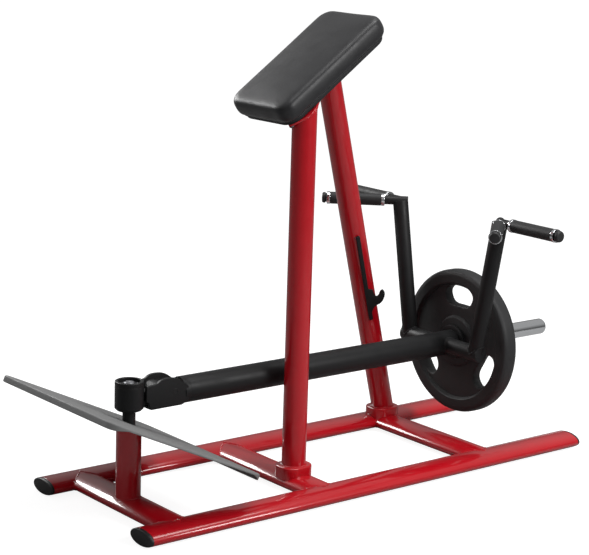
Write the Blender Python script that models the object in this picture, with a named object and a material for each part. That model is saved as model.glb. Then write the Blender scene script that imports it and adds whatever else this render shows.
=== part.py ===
"""Chest-supported lever row machine, built piece by piece.

The machine stands on two long oval rails. X runs from the foot plate to the weight
plate, Y runs across the machine and Z is up. Distances along X are counted from the
swivel axis of the lever, which stands on the front cross member.
"""

import math

import bmesh
import bpy
import numpy as np
from mathutils import Matrix, Vector

# Clearances
GAP = 0.0003
RUNNING_GAP = 0.0006
SIDE_PLAY = 0.0015
WALL_SLACK = 0.0005

# Floor frame: two rails joined by three cross members of the same oval tube
TUBE_WIDTH = 0.104
TUBE_HEIGHT = 0.045
TUBE_WALL = 0.003
RAIL_LENGTH = 1.597
RAIL_SPACING = 0.495
RAIL_FRONT = 0.115
MIDDLE_CROSS_X = 0.507
REAR_CROSS_BEFORE_HANDLE = 0.035
CAP_LENGTH = 0.010
CAP_PLUG = 0.025

# Front post and the sloping foot plate on it
POST_DIAMETER = 0.070
POST_WALL = 0.004
FOOT_PLATE_BELOW_HUB = 0.038
FOOT_PLATE_SLOPE = math.radians(25.0)
FOOT_PLATE_WIDTH = 0.595
FOOT_PLATE_UPHILL = 0.258
FOOT_PLATE_DOWNHILL = 0.278
FOOT_PLATE_SHEET = 0.004
FOOT_PLATE_CORNER = 0.050
FOOT_PLATE_FOLD = 0.005
END_LIP = 0.019
SIDE_LIP = 0.007
MOUNT_PLATE_SIZE = 0.130
MOUNT_PLATE_THICKNESS = 0.008
MOUNT_PLATE_CORNER = 0.012
SPINDLE_ROOM = 0.003

# Swivel: a fixed spindle, two bearings and a turning hub with a tongue
SPINDLE_DIAMETER = 0.036
SPINDLE_DEPTH = 0.160
JOURNAL_DIAMETER = 0.030
HUB_DIAMETER = 0.080
HUB_HEIGHT = 0.082
HUB_BELOW_PIN = 0.039
HUB_SHOULDER_BORE = 0.052
BEARING_DIAMETER = 0.062
BEARING_HEIGHT = 0.016
SEAL_HEIGHT = 0.007
SEAL_INSET = 0.001
BEARING_ABOVE_SEAL = 0.003
BEARING_BELOW_TOP = 0.010
SPINDLE_BELOW_TOP = 0.003
CIRCLIP_WIDTH = 0.004
CIRCLIP_THICKNESS = 0.0015
GUIDE_THICKNESS = 0.010
TONGUE_WIDTH = 0.050
TONGUE_CREST_X = 0.085
TONGUE_CREST_RADIUS = 0.030
TONGUE_NOSE_RADIUS = 0.029
TONGUE_NECK_TOP = 0.012
TONGUE_NECK_BOTTOM = 0.026
TONGUE_FOOT_START = 0.025
TONGUE_FOOT_END = 0.018
BUSH_WALL = 0.0025

# Lever: fork, arm tube, handle frame and weight sleeve
PIN_X = 0.130
PIN_ABOVE_ARM = 0.008
PIN_DIAMETER = 0.022
PIN_DIMPLE = 0.007
ARM_HEIGHT = 0.321
ARM_DIAMETER = 0.076
ARM_WALL = 0.004
CHEEK_THICKNESS = 0.009
CHEEK_REACH = 0.097
CHEEK_TOP = 0.028
CHEEK_BOTTOM = 0.019
CHEEK_CORNER = 0.008
CHEEK_STEP = 0.006
CHEEK_REAR = 0.044
CHEEK_EAR = ((0.044, 0.010), (0.036, 0.017), (0.024, 0.026), (0.010, 0.036), (-0.006, 0.041), (-0.024, 0.0425),
             (-0.040, 0.042), (-0.052, 0.038), (-0.060, 0.031))
FORK_THROAT = 0.032
FORK_BLOCK = 0.020
FORK_SPIGOT = 0.040
FORK_FLAT = 0.032
LIP_REACH = 0.083
LIP_THICKNESS = 0.007
HANDLE_X = 1.161
FRAME_BAR_DIAMETER = 0.048
FRAME_BAR_WALL = 0.003
FRAME_BAR_SPREAD = 0.148
HANDLE_HEIGHT = 0.737
HANDLE_SPREAD = 0.2216
HANDLE_BAR_DIAMETER = 0.028
HANDLE_BAR_WALL = 0.0025
HANDLE_REACH = 0.237
HANDLE_BACK = 0.024
HANDLE_ANGLE = math.radians(42.0)
GRIP_START = 0.060
GRIP_LENGTH = 0.162
GRIP_DIAMETER = 0.038
COLLAR_LENGTH = 0.010
SPOOL_WALL = 0.0015
COLLAR_DIAMETER = 0.040
END_CAP_LENGTH = 0.011
END_CAP_DIAMETER = 0.034
ARM_BEYOND_HANDLE = 0.037
FLANGE_DIAMETER = 0.104
FLANGE_THICKNESS = 0.012
SLEEVE_DIAMETER = 0.050
SLEEVE_WALL = 0.006
SLEEVE_CLEARANCE = 0.002
SLEEVE_END_X = 1.600

# Weight plate on the sleeve
PLATE_DIAMETER = 0.450
PLATE_WIDTH = 0.056
PLATE_SHOULDER = 0.012
PLATE_RIM = 0.047
PLATE_RECESS = 0.011
PLATE_BOSS_DIAMETER = 0.150
PLATE_BOSS_BACK = 0.002
INSERT_DIAMETER = 0.090
GRIP_HOLE_INNER = 0.113
GRIP_HOLE_OUTER = 0.177
GRIP_HOLE_SWEEP = math.radians(23.0)

# Uprights and the chest pad that they carry
UPRIGHT_DIAMETER = 0.070
UPRIGHT_WALL = 0.003
FRONT_UPRIGHT_Y = -0.093
REAR_UPRIGHT_INSET = 0.0195
REAR_UPRIGHT_TOP_Y = 0.086
REAR_UPRIGHT_BEYOND_PAD = 0.123
FOOT_FLANGE_LENGTH = 0.100
FOOT_FLANGE_WIDTH = 0.086
FOOT_FLANGE_CORNER = 0.022
FOOT_FLANGE_HEIGHT = 0.026
FOOT_FLANGE_SKIRT = 0.010
PAD_BEYOND_FRONT_UPRIGHT = 0.086
PAD_HEIGHT = 1.202
PAD_TILT = math.radians(35.7)
PAD_LENGTH = 0.436
PAD_WIDTH = 0.260
PAD_THICKNESS = 0.063
PAD_CORNER = 0.040
BOARD_THICKNESS = 0.012
BOARD_INSET = 0.012
BOARD_CORNER = 0.045
BRACKET_WIDTH = 0.076
BRACKET_THICKNESS = 0.006
BRACKET_FULLNESS = 1.4
BRACKET_SCREW_INSET = 0.016
BRACKET_SCREW_ROOM = 0.002
SCREW_BITE = 0.7
UPRIGHT_OVERLAP = 0.060

# Side view of the cushion: how far it draws in, and the share of its thickness where it does
CUSHION_SIDE = ((0.0100, 0.0), (0.0040, 0.10), (0.0008, 0.24), (0.0, 0.45), (0.0008, 0.68), (0.0035, 0.82),
                (0.0090, 0.90), (0.0200, 0.945), (0.0450, 0.970), (0.1000, 1.0))

# Catch on the rear upright, a hooked flat strap
CATCH_LENGTH = 0.296
CATCH_WIDTH = 0.012
CATCH_THICKNESS = 0.008
CATCH_TOP_HEIGHT = 0.6725
CATCH_TURN = math.radians(25.0)
HOOK_DROP = 0.2215

# Edge of the hook, beyond the strap's edge and above the bottom of the slot
HOOK_EDGE = ((0.0, -0.0485), (0.005, -0.0385), (0.0105, -0.032), (0.018, -0.028), (0.025, -0.0275),
             (0.0315, -0.0255), (0.0395, -0.019), (0.046, -0.009), (0.0495, 0.0015), (0.0495, 0.0105),
             (0.0475, 0.0165), (0.0425, 0.0175), (0.037, 0.0145), (0.034, 0.009), (0.0315, 0.0035), (0.026, 0.0),
             (0.0205, 0.002), (0.0175, 0.0075), (0.0155, 0.0155), (0.0145, 0.0265), (0.0, 0.0335))

# Screws
SCREW_DIAMETER = 0.008
SCREW_HEAD_DIAMETER = 0.015
SCREW_HEAD_HEIGHT = 0.005
SCREW_SOCKET = 0.005

# Half the length of a cutter that runs right through a piece, and the side of one that trims a tube
CUTTER_REACH = 0.1
TRIM_SIZE = 0.4

# Facets on round pieces
ROUND_FACETS = 24
SMALL_FACETS = 12
PLATE_FACETS = 48

# Derived places
FRONT_REACH = max(FOOT_PLATE_UPHILL * math.cos(FOOT_PLATE_SLOPE) + END_LIP * math.sin(FOOT_PLATE_SLOPE),
                  RAIL_FRONT + CAP_LENGTH)
SWIVEL_X = (FRONT_REACH - SLEEVE_END_X) / 2
TUBE_CENTRE = TUBE_HEIGHT / 2
PIN_HEIGHT = ARM_HEIGHT + PIN_ABOVE_ARM
HUB_BASE = PIN_HEIGHT - HUB_BELOW_PIN
FOOT_PLATE_HEIGHT = HUB_BASE - FOOT_PLATE_BELOW_HUB
FLANGE_TOP = TUBE_HEIGHT + FOOT_FLANGE_HEIGHT
REAR_UPRIGHT_FOOT_Y = RAIL_SPACING / 2 - REAR_UPRIGHT_INSET
REAR_CROSS_X = HANDLE_X - REAR_CROSS_BEFORE_HANDLE
ARM_END_X = HANDLE_X + ARM_BEYOND_HANDLE
PAD_CENTRE_X = MIDDLE_CROSS_X + PAD_BEYOND_FRONT_UPRIGHT
PLATE_CENTRE_X = ARM_END_X + FLANGE_THICKNESS + GAP + PLATE_WIDTH / 2
HUB_TOP = HUB_BASE + HUB_HEIGHT
LOWER_BEARING = HUB_BASE + SEAL_HEIGHT + BEARING_ABOVE_SEAL
UPPER_BEARING = HUB_TOP - BEARING_HEIGHT - BEARING_BELOW_TOP
ARM_DROP = ARM_HEIGHT - PIN_HEIGHT
LIP_TOP = ARM_DROP - FORK_FLAT + LIP_THICKNESS
BRACKET_SCREW_OFFSET = (UPRIGHT_DIAMETER / 2 / math.cos(PAD_TILT) + SCREW_HEAD_HEIGHT * math.tan(PAD_TILT)
                        + SCREW_HEAD_DIAMETER / 2 + BRACKET_SCREW_ROOM)
BRACKET_LENGTH = 2 * (BRACKET_SCREW_OFFSET + BRACKET_SCREW_INSET)

RED = (0.55, 0.008, 0.018, 1.0)
BLACK = (0.018, 0.018, 0.019, 1.0)
RUBBER_BLACK = (0.022, 0.021, 0.022, 1.0)
VINYL = (0.045, 0.045, 0.047, 1.0)
GREY = (0.26, 0.26, 0.26, 1.0)
STEEL = (0.62, 0.62, 0.64, 1.0)
CHROME = (0.80, 0.80, 0.82, 1.0)
BRONZE = (0.52, 0.33, 0.14, 1.0)
BOARD = (0.035, 0.030, 0.028, 1.0)


def clear_scene():
    """Remove whatever the file held before."""
    for old in list(bpy.data.objects):
        bpy.data.objects.remove(old, do_unlink=True)


def coat(name, colour, roughness, metallic=0.0):
    """A Principled material, one for each piece."""
    material = bpy.data.materials.new(name)
    material.use_nodes = True
    shader = material.node_tree.nodes["Principled BSDF"]
    shader.inputs["Base Color"].default_value = colour
    shader.inputs["Roughness"].default_value = roughness
    shader.inputs["Metallic"].default_value = metallic
    material.diffuse_color = colour
    return material


FINISHES = {
    "powder_red": (RED, 0.25, 0.0),
    "powder_black": (BLACK, 0.40, 0.0),
    "rubber": (RUBBER_BLACK, 0.75, 0.0),
    "plastic": (BLACK, 0.50, 0.0),
    "vinyl": (VINYL, 0.50, 0.0),
    "grey": (GREY, 0.60, 0.0),
    "steel": (STEEL, 0.30, 1.0),
    "chrome": (CHROME, 0.08, 1.0),
    "bronze": (BRONZE, 0.35, 1.0),
    "board": (BOARD, 0.70, 0.0),
}


def ellipse(width, height, count=ROUND_FACETS):
    """An oval outline whose flats touch the full width and height."""
    turn = (np.arange(count) + 0.5) * 2 * math.pi / count
    grow = 1 / math.cos(math.pi / count)
    return np.stack([width / 2 * grow * np.cos(turn), height / 2 * grow * np.sin(turn)], axis=1)


def circle(diameter, count=ROUND_FACETS):
    return ellipse(diameter, diameter, count)


def rounded_rectangle(length, width, radius, steps=5):
    """A rectangle outline with an arc of the given number of steps at each corner."""
    points = []
    for quarter, (side, end) in enumerate(((1, 1), (-1, 1), (-1, -1), (1, -1))):
        centre = (side * (length / 2 - radius), end * (width / 2 - radius))
        for step in range(steps + 1):
            turn = (quarter + step / steps) * math.pi / 2
            points.append((centre[0] + radius * math.cos(turn), centre[1] + radius * math.sin(turn)))
    return np.array(points)


def square(side):
    half = side / 2
    return np.array(((half, half), (-half, half), (-half, -half), (half, -half)))


def ring(section, height):
    """A flat outline lifted to one height."""
    return [(u, v, height) for u, v in section]


def loft(name, rings, finish, parent, closed=False):
    """Skin rings of equal count; the ends are filled unless the loft closes on itself."""
    shape = bmesh.new()
    rows = [[shape.verts.new(point) for point in row] for row in rings]
    following = rows[1:] + rows[:1] if closed else rows[1:]
    for row, after in zip(rows, following):
        count = len(row)
        for k in range(count):
            shape.faces.new((row[k], row[(k + 1) % count], after[(k + 1) % count], after[k]))
    if not closed:
        shape.faces.new(list(reversed(rows[0])))
        shape.faces.new(rows[-1])
    return finish_object(name, shape, finish, parent)


def finish_object(name, shape, finish, parent):
    """Turn a mesh into a named object with its own material and smooth round sides."""
    bmesh.ops.recalc_face_normals(shape, faces=shape.faces)
    mesh = bpy.data.meshes.new(name)
    shape.to_mesh(mesh)
    shape.free()
    mesh.shade_smooth()
    mesh.set_sharp_from_angle(angle=math.radians(35.0))
    mesh.materials.append(coat(name, *FINISHES[finish]))
    obj = bpy.data.objects.new(name, mesh)
    bpy.context.scene.collection.objects.link(obj)
    obj.parent = parent
    return obj


def place(obj, location, direction=(0, 0, 1), up=(0, 1, 0)):
    """Point the object's own Z along a direction, its own Y near the given up vector."""
    forward = Vector(direction).normalized()
    across = Vector(up).cross(forward).normalized()
    rotation = Matrix((across, forward.cross(across), forward)).transposed()
    obj.location = location
    obj.rotation_euler = rotation.to_euler()
    return obj


def bar(name, section, length, finish, parent, hole=None):
    """A straight bar along its own Z, hollow when a hole outline is given."""
    if hole is None:
        return loft(name, [ring(section, 0), ring(section, length)], finish, parent)
    rings = [ring(section, 0), ring(section, length), ring(hole, length), ring(hole, 0)]
    return loft(name, rings, finish, parent, closed=True)


def turned(name, profile, finish, parent, count=ROUND_FACETS, closed=False):
    """A turned piece about its own Z from (diameter, height) points."""
    rings = [ring(circle(diameter, count), height) for diameter, height in profile]
    return loft(name, rings, finish, parent, closed)


def slab(name, outline, thickness, finish, parent):
    """A flat plate of an outline, from its own Z = 0 up to its thickness."""
    return loft(name, [ring(outline, 0), ring(outline, thickness)], finish, parent)


def boolean(obj, tool, operation):
    """Cut or join with a helper solid that is itself left out of the model."""
    tool.hide_render = True
    tool.display_type = "WIRE"
    modifier = obj.modifiers.new(tool.name, "BOOLEAN")
    modifier.operation = operation
    modifier.solver = "EXACT"
    modifier.object = tool
    return obj


def cut(obj, *tools):
    for tool in tools:
        boolean(obj, tool, "DIFFERENCE")
    return obj


def add(obj, *tools):
    for tool in tools:
        boolean(obj, tool, "UNION")
    return obj


def make_screw(name, parent, length):
    """A button-head socket screw: its head stands above its own Z = 0, its shank goes down."""
    head = SCREW_HEAD_DIAMETER
    profile = [
        (SCREW_DIAMETER, -length),
        (SCREW_DIAMETER, 0),
        (head, 0),
        (head, SCREW_HEAD_HEIGHT * 0.4),
        (head * 0.72, SCREW_HEAD_HEIGHT),
        (SCREW_SOCKET, SCREW_HEAD_HEIGHT),
        (SCREW_SOCKET, SCREW_HEAD_HEIGHT * 0.4),
    ]
    return turned(name, profile, "steel", parent, SMALL_FACETS)


def empty(name, parent, location):
    holder = bpy.data.objects.new(name, None)
    bpy.context.scene.collection.objects.link(holder)
    holder.parent = parent
    holder.location = location
    return holder


def rail_section():
    return ellipse(TUBE_WIDTH, TUBE_HEIGHT)


def tube_bore():
    return ellipse(TUBE_WIDTH - 2 * TUBE_WALL, TUBE_HEIGHT - 2 * TUBE_WALL)


def frame_cutter(name, parent, direction, start, length):
    """The outside of an oval frame tube, grown by the gap, for shaping what meets it."""
    grown = ellipse(TUBE_WIDTH + 2 * GAP, TUBE_HEIGHT + 2 * GAP)
    return place(bar(name, grown, length, "steel", parent), start, direction, (0, 0, 1))


def make_rails(base):
    """Two long rails with plugged ends, and three cross members fitted between them."""
    for side, y in (("near", -RAIL_SPACING / 2), ("far", RAIL_SPACING / 2)):
        rail = bar("rail_" + side, rail_section(), RAIL_LENGTH, "powder_red", base, tube_bore())
        place(rail, (-RAIL_FRONT, y, TUBE_CENTRE), (1, 0, 0), (0, 0, 1))
        make_rail_cap("rail_cap_" + side + "_front", base, (-RAIL_FRONT, y, TUBE_CENTRE), (-1, 0, 0))
        make_rail_cap("rail_cap_" + side + "_rear", base, (RAIL_LENGTH - RAIL_FRONT, y, TUBE_CENTRE), (1, 0, 0))
    for name, x in (("front", 0), ("middle", MIDDLE_CROSS_X), ("rear", REAR_CROSS_X)):
        start = (x, -RAIL_SPACING / 2, TUBE_CENTRE)
        member = bar("cross_member_" + name, rail_section(), RAIL_SPACING, "powder_red", base, tube_bore())
        place(member, start, (0, 1, 0), (0, 0, 1))
        for side, y in (("near", -RAIL_SPACING / 2), ("far", RAIL_SPACING / 2)):
            corner = (x - TUBE_WIDTH, y, TUBE_CENTRE)
            cut(member, frame_cutter("cut_" + name + "_" + side, base, (1, 0, 0), corner, 2 * TUBE_WIDTH))


def make_rail_cap(name, base, end, outward):
    """A push-in end cap: a plug inside the tube and a domed face over its end."""
    bore_width = TUBE_WIDTH - 2 * TUBE_WALL - 2 * GAP
    bore_height = TUBE_HEIGHT - 2 * TUBE_WALL - 2 * GAP
    rings = [
        ring(ellipse(bore_width, bore_height), -CAP_PLUG),
        ring(ellipse(bore_width, bore_height), GAP),
        ring(ellipse(TUBE_WIDTH, TUBE_HEIGHT), GAP),
        ring(ellipse(TUBE_WIDTH, TUBE_HEIGHT), CAP_LENGTH * 0.4),
        ring(ellipse(TUBE_WIDTH * 0.97, TUBE_HEIGHT * 0.94), CAP_LENGTH * 0.75),
        ring(ellipse(TUBE_WIDTH * 0.88, TUBE_HEIGHT * 0.76), CAP_LENGTH),
    ]
    place(loft(name, rings, "plastic", base), end, outward, (0, 0, 1))


def make_front_post(base):
    """The post stands on the front cross member and is cut to the slope of the foot plate."""
    top = FOOT_PLATE_HEIGHT + POST_DIAMETER
    hole = circle(POST_DIAMETER - 2 * POST_WALL)
    post = bar("front_post", circle(POST_DIAMETER), top - TUBE_CENTRE, "powder_red", base, hole)
    place(post, (0, 0, TUBE_CENTRE))
    below = FOOT_PLATE_SHEET + MOUNT_PLATE_THICKNESS + 2 * GAP
    cover = slab("cut_post_slope", square(TRIM_SIZE), 2 * CUTTER_REACH, "steel", base)
    place_on_slope(cover, -below - GAP)
    foot = frame_cutter("cut_post_foot", base, (0, 1, 0), (0, -TUBE_WIDTH, TUBE_CENTRE), 2 * TUBE_WIDTH)
    cut(post, cover, foot)


def place_on_slope(obj, lift, along=0.0, across=0.0):
    """Lay an object on the foot plate's slope, lifted square to its upper face."""
    slope = Matrix.Rotation(FOOT_PLATE_SLOPE, 3, "Y")
    obj.location = Vector((0, 0, FOOT_PLATE_HEIGHT)) + slope @ Vector((along, across, lift))
    obj.rotation_euler = (0, FOOT_PLATE_SLOPE, 0)
    return obj


def lip_depth(along):
    """The folded lip is deep across both ends of the plate and shallow along its sides."""
    from_end = min(along + FOOT_PLATE_UPHILL, FOOT_PLATE_DOWNHILL - along)
    blend = min(1.0, max(0.0, from_end / FOOT_PLATE_CORNER))
    blend = blend * blend * (3 - 2 * blend)
    return END_LIP + (SIDE_LIP - END_LIP) * blend


def make_foot_plate(base):
    """A pressed sheet with a lip folded down all round and a clear hole for the spindle."""
    length = FOOT_PLATE_UPHILL + FOOT_PLATE_DOWNHILL
    middle = (FOOT_PLATE_DOWNHILL - FOOT_PLATE_UPHILL) / 2
    outer = rounded_rectangle(length, FOOT_PLATE_WIDTH, FOOT_PLATE_CORNER) + (middle, 0)
    trim = 2 * FOOT_PLATE_FOLD
    corner = FOOT_PLATE_CORNER - FOOT_PLATE_FOLD
    top = rounded_rectangle(length - trim, FOOT_PLATE_WIDTH - trim, corner) + (middle, 0)
    trim = 2 * FOOT_PLATE_SHEET
    corner = FOOT_PLATE_CORNER - FOOT_PLATE_SHEET
    inner = rounded_rectangle(length - trim, FOOT_PLATE_WIDTH - trim, corner) + (middle, 0)
    rings = [
        ring(top, 0),
        [(u, v, -FOOT_PLATE_FOLD) for u, v in outer],
        [(u, v, -lip_depth(u)) for u, v in outer],
        [(u, v, -lip_depth(u)) for u, v in inner],
        ring(inner, -FOOT_PLATE_SHEET),
    ]
    plate = place_on_slope(loft("foot_plate", rings, "grey", base), 0)
    opening = circle(SPINDLE_DIAMETER + 2 * SPINDLE_ROOM)
    hole = bar("cut_foot_plate_hole", opening, 2 * CUTTER_REACH, "steel", base)
    place(hole, (0, 0, FOOT_PLATE_HEIGHT - CUTTER_REACH))
    cut(plate, hole)
    make_foot_plate_mount(base)


def make_foot_plate_mount(base):
    """A flat plate welded between the sloping post top and the foot plate, bored for the spindle."""
    outline = rounded_rectangle(MOUNT_PLATE_SIZE, MOUNT_PLATE_SIZE, MOUNT_PLATE_CORNER)
    mount = slab("foot_plate_mount", outline, MOUNT_PLATE_THICKNESS, "powder_red", base)
    place_on_slope(mount, -FOOT_PLATE_SHEET - GAP - MOUNT_PLATE_THICKNESS)
    hole = bar("cut_mount_hole", circle(SPINDLE_DIAMETER + 2 * GAP), 2 * CUTTER_REACH, "steel", base)
    place(hole, (0, 0, FOOT_PLATE_HEIGHT - CUTTER_REACH))
    cut(mount, hole)


def make_spindle(base):
    """The fixed spindle is held by the mount plate and by a guide ring low inside the post."""
    bottom = LOWER_BEARING - SPINDLE_DEPTH
    top = HUB_TOP - SPINDLE_BELOW_TOP
    chamfer = 0.003
    profile = [
        (SPINDLE_DIAMETER - 2 * chamfer, bottom),
        (SPINDLE_DIAMETER, bottom + chamfer),
        (SPINDLE_DIAMETER, LOWER_BEARING - GAP),
        (JOURNAL_DIAMETER, LOWER_BEARING - GAP),
        (JOURNAL_DIAMETER, top - chamfer),
        (JOURNAL_DIAMETER - 2 * chamfer, top),
    ]
    turned("spindle", profile, "steel", base)
    outside = POST_DIAMETER - 2 * POST_WALL - 2 * GAP
    bore = SPINDLE_DIAMETER + 2 * GAP
    low = bottom + chamfer
    profile = [(bore, low), (outside, low), (outside, low + GUIDE_THICKNESS), (bore, low + GUIDE_THICKNESS)]
    turned("spindle_guide", profile, "steel", base, closed=True)
    low = UPPER_BEARING + BEARING_HEIGHT + GAP
    inside = JOURNAL_DIAMETER + 2 * GAP
    outside = JOURNAL_DIAMETER + 2 * CIRCLIP_WIDTH
    high = low + CIRCLIP_THICKNESS
    profile = [(inside, low), (outside, low), (outside, high), (inside, high)]
    turned("spindle_circlip", profile, "steel", base, closed=True)


def make_swivel(swivel):
    """Hub, bearings, seal and the tongue that carries the lever's pin."""
    chamfer = 0.0025
    bore = BEARING_DIAMETER + 2 * GAP
    profile = [
        (bore, HUB_BASE),
        (HUB_DIAMETER - 2 * chamfer, HUB_BASE),
        (HUB_DIAMETER, HUB_BASE + chamfer),
        (HUB_DIAMETER, HUB_TOP - chamfer),
        (HUB_DIAMETER - 2 * chamfer, HUB_TOP),
        (bore, HUB_TOP),
        (bore, UPPER_BEARING - GAP),
        (HUB_SHOULDER_BORE, UPPER_BEARING - GAP),
        (HUB_SHOULDER_BORE, LOWER_BEARING + BEARING_HEIGHT + GAP),
        (bore, LOWER_BEARING + BEARING_HEIGHT + GAP),
    ]
    turned("swivel_hub", profile, "powder_black", swivel, closed=True)
    make_bearing("hub_bearing_lower", swivel, LOWER_BEARING)
    make_bearing("hub_bearing_upper", swivel, UPPER_BEARING)
    low = HUB_BASE + SEAL_INSET
    inside = SPINDLE_DIAMETER + 2 * RUNNING_GAP
    outside = BEARING_DIAMETER
    high = low + SEAL_HEIGHT
    profile = [(inside, low), (outside, low), (outside, high), (inside, high)]
    turned("hub_seal", profile, "rubber", swivel, closed=True)
    make_tongue(swivel)


def make_bearing(name, swivel, low):
    """A sealed ball bearing: two rings with a recessed shield between them."""
    inside = JOURNAL_DIAMETER + 2 * RUNNING_GAP
    outside = BEARING_DIAMETER
    third = (outside - inside) / 3
    recess = 0.001
    high = low + BEARING_HEIGHT
    profile = [
        (inside, low),
        (outside, low),
        (outside, high),
        (outside - third * 0.8, high),
        (outside - third, high - recess),
        (inside + third, high - recess),
        (inside + third * 0.8, high),
        (inside, high),
    ]
    turned(name, profile, "steel", swivel, closed=True)


def make_tongue(swivel):
    """A thick plate from the hub to the pin, with a round crest and a flat foot as a stop."""
    crest = TONGUE_CREST_X
    rise = PIN_HEIGHT
    hub_side = HUB_DIAMETER / 2 * math.cos(math.pi / ROUND_FACETS) * 0.5
    points = []
    for step in range(13):
        turn = math.radians(180 - 130 * step / 12)
        out, up = math.cos(turn), math.sin(turn)
        points.append((crest + TONGUE_CREST_RADIUS * out, rise + TONGUE_CREST_RADIUS * up))
    for step in range(9):
        turn = math.radians(90 - 180 * step / 8)
        points.append((PIN_X + TONGUE_NOSE_RADIUS * math.cos(turn), rise + TONGUE_NOSE_RADIUS * math.sin(turn)))
    points.append((PIN_X - TONGUE_FOOT_END, rise + LIP_TOP + GAP))
    points.append((crest - TONGUE_FOOT_START, rise + LIP_TOP + GAP))
    points.append((crest - TONGUE_CREST_RADIUS, rise - TONGUE_NECK_BOTTOM))
    points.append((hub_side, rise - TONGUE_NECK_BOTTOM))
    points.append((hub_side, rise + TONGUE_NECK_TOP))
    points.append((crest - TONGUE_CREST_RADIUS, rise + TONGUE_NECK_TOP))
    outline = np.array(points[1:])
    tongue = slab("swivel_tongue", outline, TONGUE_WIDTH, "powder_black", swivel)
    place(tongue, (0, TONGUE_WIDTH / 2, 0), (0, -1, 0), (0, 0, 1))
    hub = bar("cut_tongue_hub", circle(HUB_DIAMETER + 2 * GAP), 2 * CUTTER_REACH, "steel", swivel)
    place(hub, (0, 0, PIN_HEIGHT - CUTTER_REACH))
    bore_size = PIN_DIAMETER + 2 * RUNNING_GAP + 2 * BUSH_WALL + 2 * GAP
    bore = bar("cut_tongue_bore", circle(bore_size), 2 * CUTTER_REACH, "steel", swivel)
    place(bore, (PIN_X, -CUTTER_REACH, PIN_HEIGHT), (0, 1, 0), (0, 0, 1))
    cut(tongue, hub, bore)
    inside = PIN_DIAMETER + 2 * RUNNING_GAP
    outside = inside + 2 * BUSH_WALL
    reach = TONGUE_WIDTH / 2
    profile = [(inside, -reach), (outside, -reach), (outside, reach), (inside, reach)]
    bush = turned("tongue_bush", profile, "bronze", swivel, closed=True)
    place(bush, (PIN_X, 0, PIN_HEIGHT), (0, 1, 0), (0, 0, 1))


def fork_inner():
    """Half the space between the fork's cheeks."""
    return TONGUE_WIDTH / 2 + SIDE_PLAY + GAP


def cheek_outline():
    """Side view of a cheek about the pin: a narrow front, a lower lip and a round ear over the pin."""
    radius = CHEEK_CORNER
    points = []
    front = radius - CHEEK_REACH
    for start, level in ((90, CHEEK_TOP - radius), (180, radius - CHEEK_BOTTOM)):
        for step in range(5):
            turn = math.radians(start + 90 * step / 4)
            points.append((front + radius * math.cos(turn), level + radius * math.sin(turn)))
    points.append((-LIP_REACH - CHEEK_STEP, -CHEEK_BOTTOM))
    points.append((-LIP_REACH, ARM_DROP - FORK_FLAT))
    points.append((CHEEK_REAR / 2, ARM_DROP - FORK_FLAT))
    points.append((CHEEK_REAR, ARM_DROP - FORK_FLAT / 2))
    return np.array(points + list(CHEEK_EAR))


def make_fork(lever):
    """The lever's fork: two cheeks and a lower lip on a round block that plugs into the arm tube."""
    width = fork_inner() + CHEEK_THICKNESS
    overlap = 0.004
    fork = slab("lever_fork", cheek_outline(), 2 * width, "powder_black", lever)
    place(fork, (0, width, 0), (0, -1, 0), (0, 0, 1))
    gap = rounded_rectangle(2 * fork_inner(), 2 * CUTTER_REACH, 0.0005, 1)
    slot = bar("cut_fork_slot", gap, 2 * CUTTER_REACH, "steel", lever)
    place(slot, (FORK_THROAT, 0, LIP_TOP + CUTTER_REACH), (-1, 0, 0), (0, 0, 1))
    front = bar("cut_fork_front", gap, 2 * CUTTER_REACH, "steel", lever)
    place(front, (-LIP_REACH, 0, 0), (-1, 0, 0), (0, 0, 1))
    block = bar("add_fork_block", circle(ARM_DIAMETER), FORK_BLOCK - overlap / 2, "steel", lever)
    place(block, (FORK_THROAT + overlap / 2, 0, ARM_DROP), (1, 0, 0), (0, 0, 1))
    spigot_size = ARM_DIAMETER - 2 * ARM_WALL - 2 * GAP
    spigot = bar("add_fork_spigot", circle(spigot_size), FORK_SPIGOT + overlap, "steel", lever)
    place(spigot, (FORK_THROAT + FORK_BLOCK - overlap, 0, ARM_DROP), (1, 0, 0), (0, 0, 1))
    bore = bar("cut_fork_bore", circle(PIN_DIAMETER + 2 * GAP), 2 * CUTTER_REACH, "steel", lever)
    place(bore, (0, -CUTTER_REACH, 0), (0, 1, 0), (0, 0, 1))
    cut(fork, slot, front)
    add(fork, block, spigot)
    cut(fork, bore)
    reach = width - 0.0008
    chamfer = 0.001
    profile = [
        (PIN_DIAMETER - 2 * chamfer, -reach),
        (PIN_DIAMETER, -reach + chamfer),
        (PIN_DIAMETER, reach - chamfer),
        (PIN_DIAMETER - 2 * chamfer, reach),
        (PIN_DIMPLE, reach),
        (PIN_DIMPLE * 0.6, reach - 0.004),
    ]
    place(turned("lever_pin", profile, "powder_black", lever), (0, 0, 0), (0, -1, 0), (0, 0, 1))


def lever_point(x, y, z):
    """A place given from the swivel axis and the floor, as seen from the pin."""
    return (x - PIN_X, y, z - PIN_HEIGHT)


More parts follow.
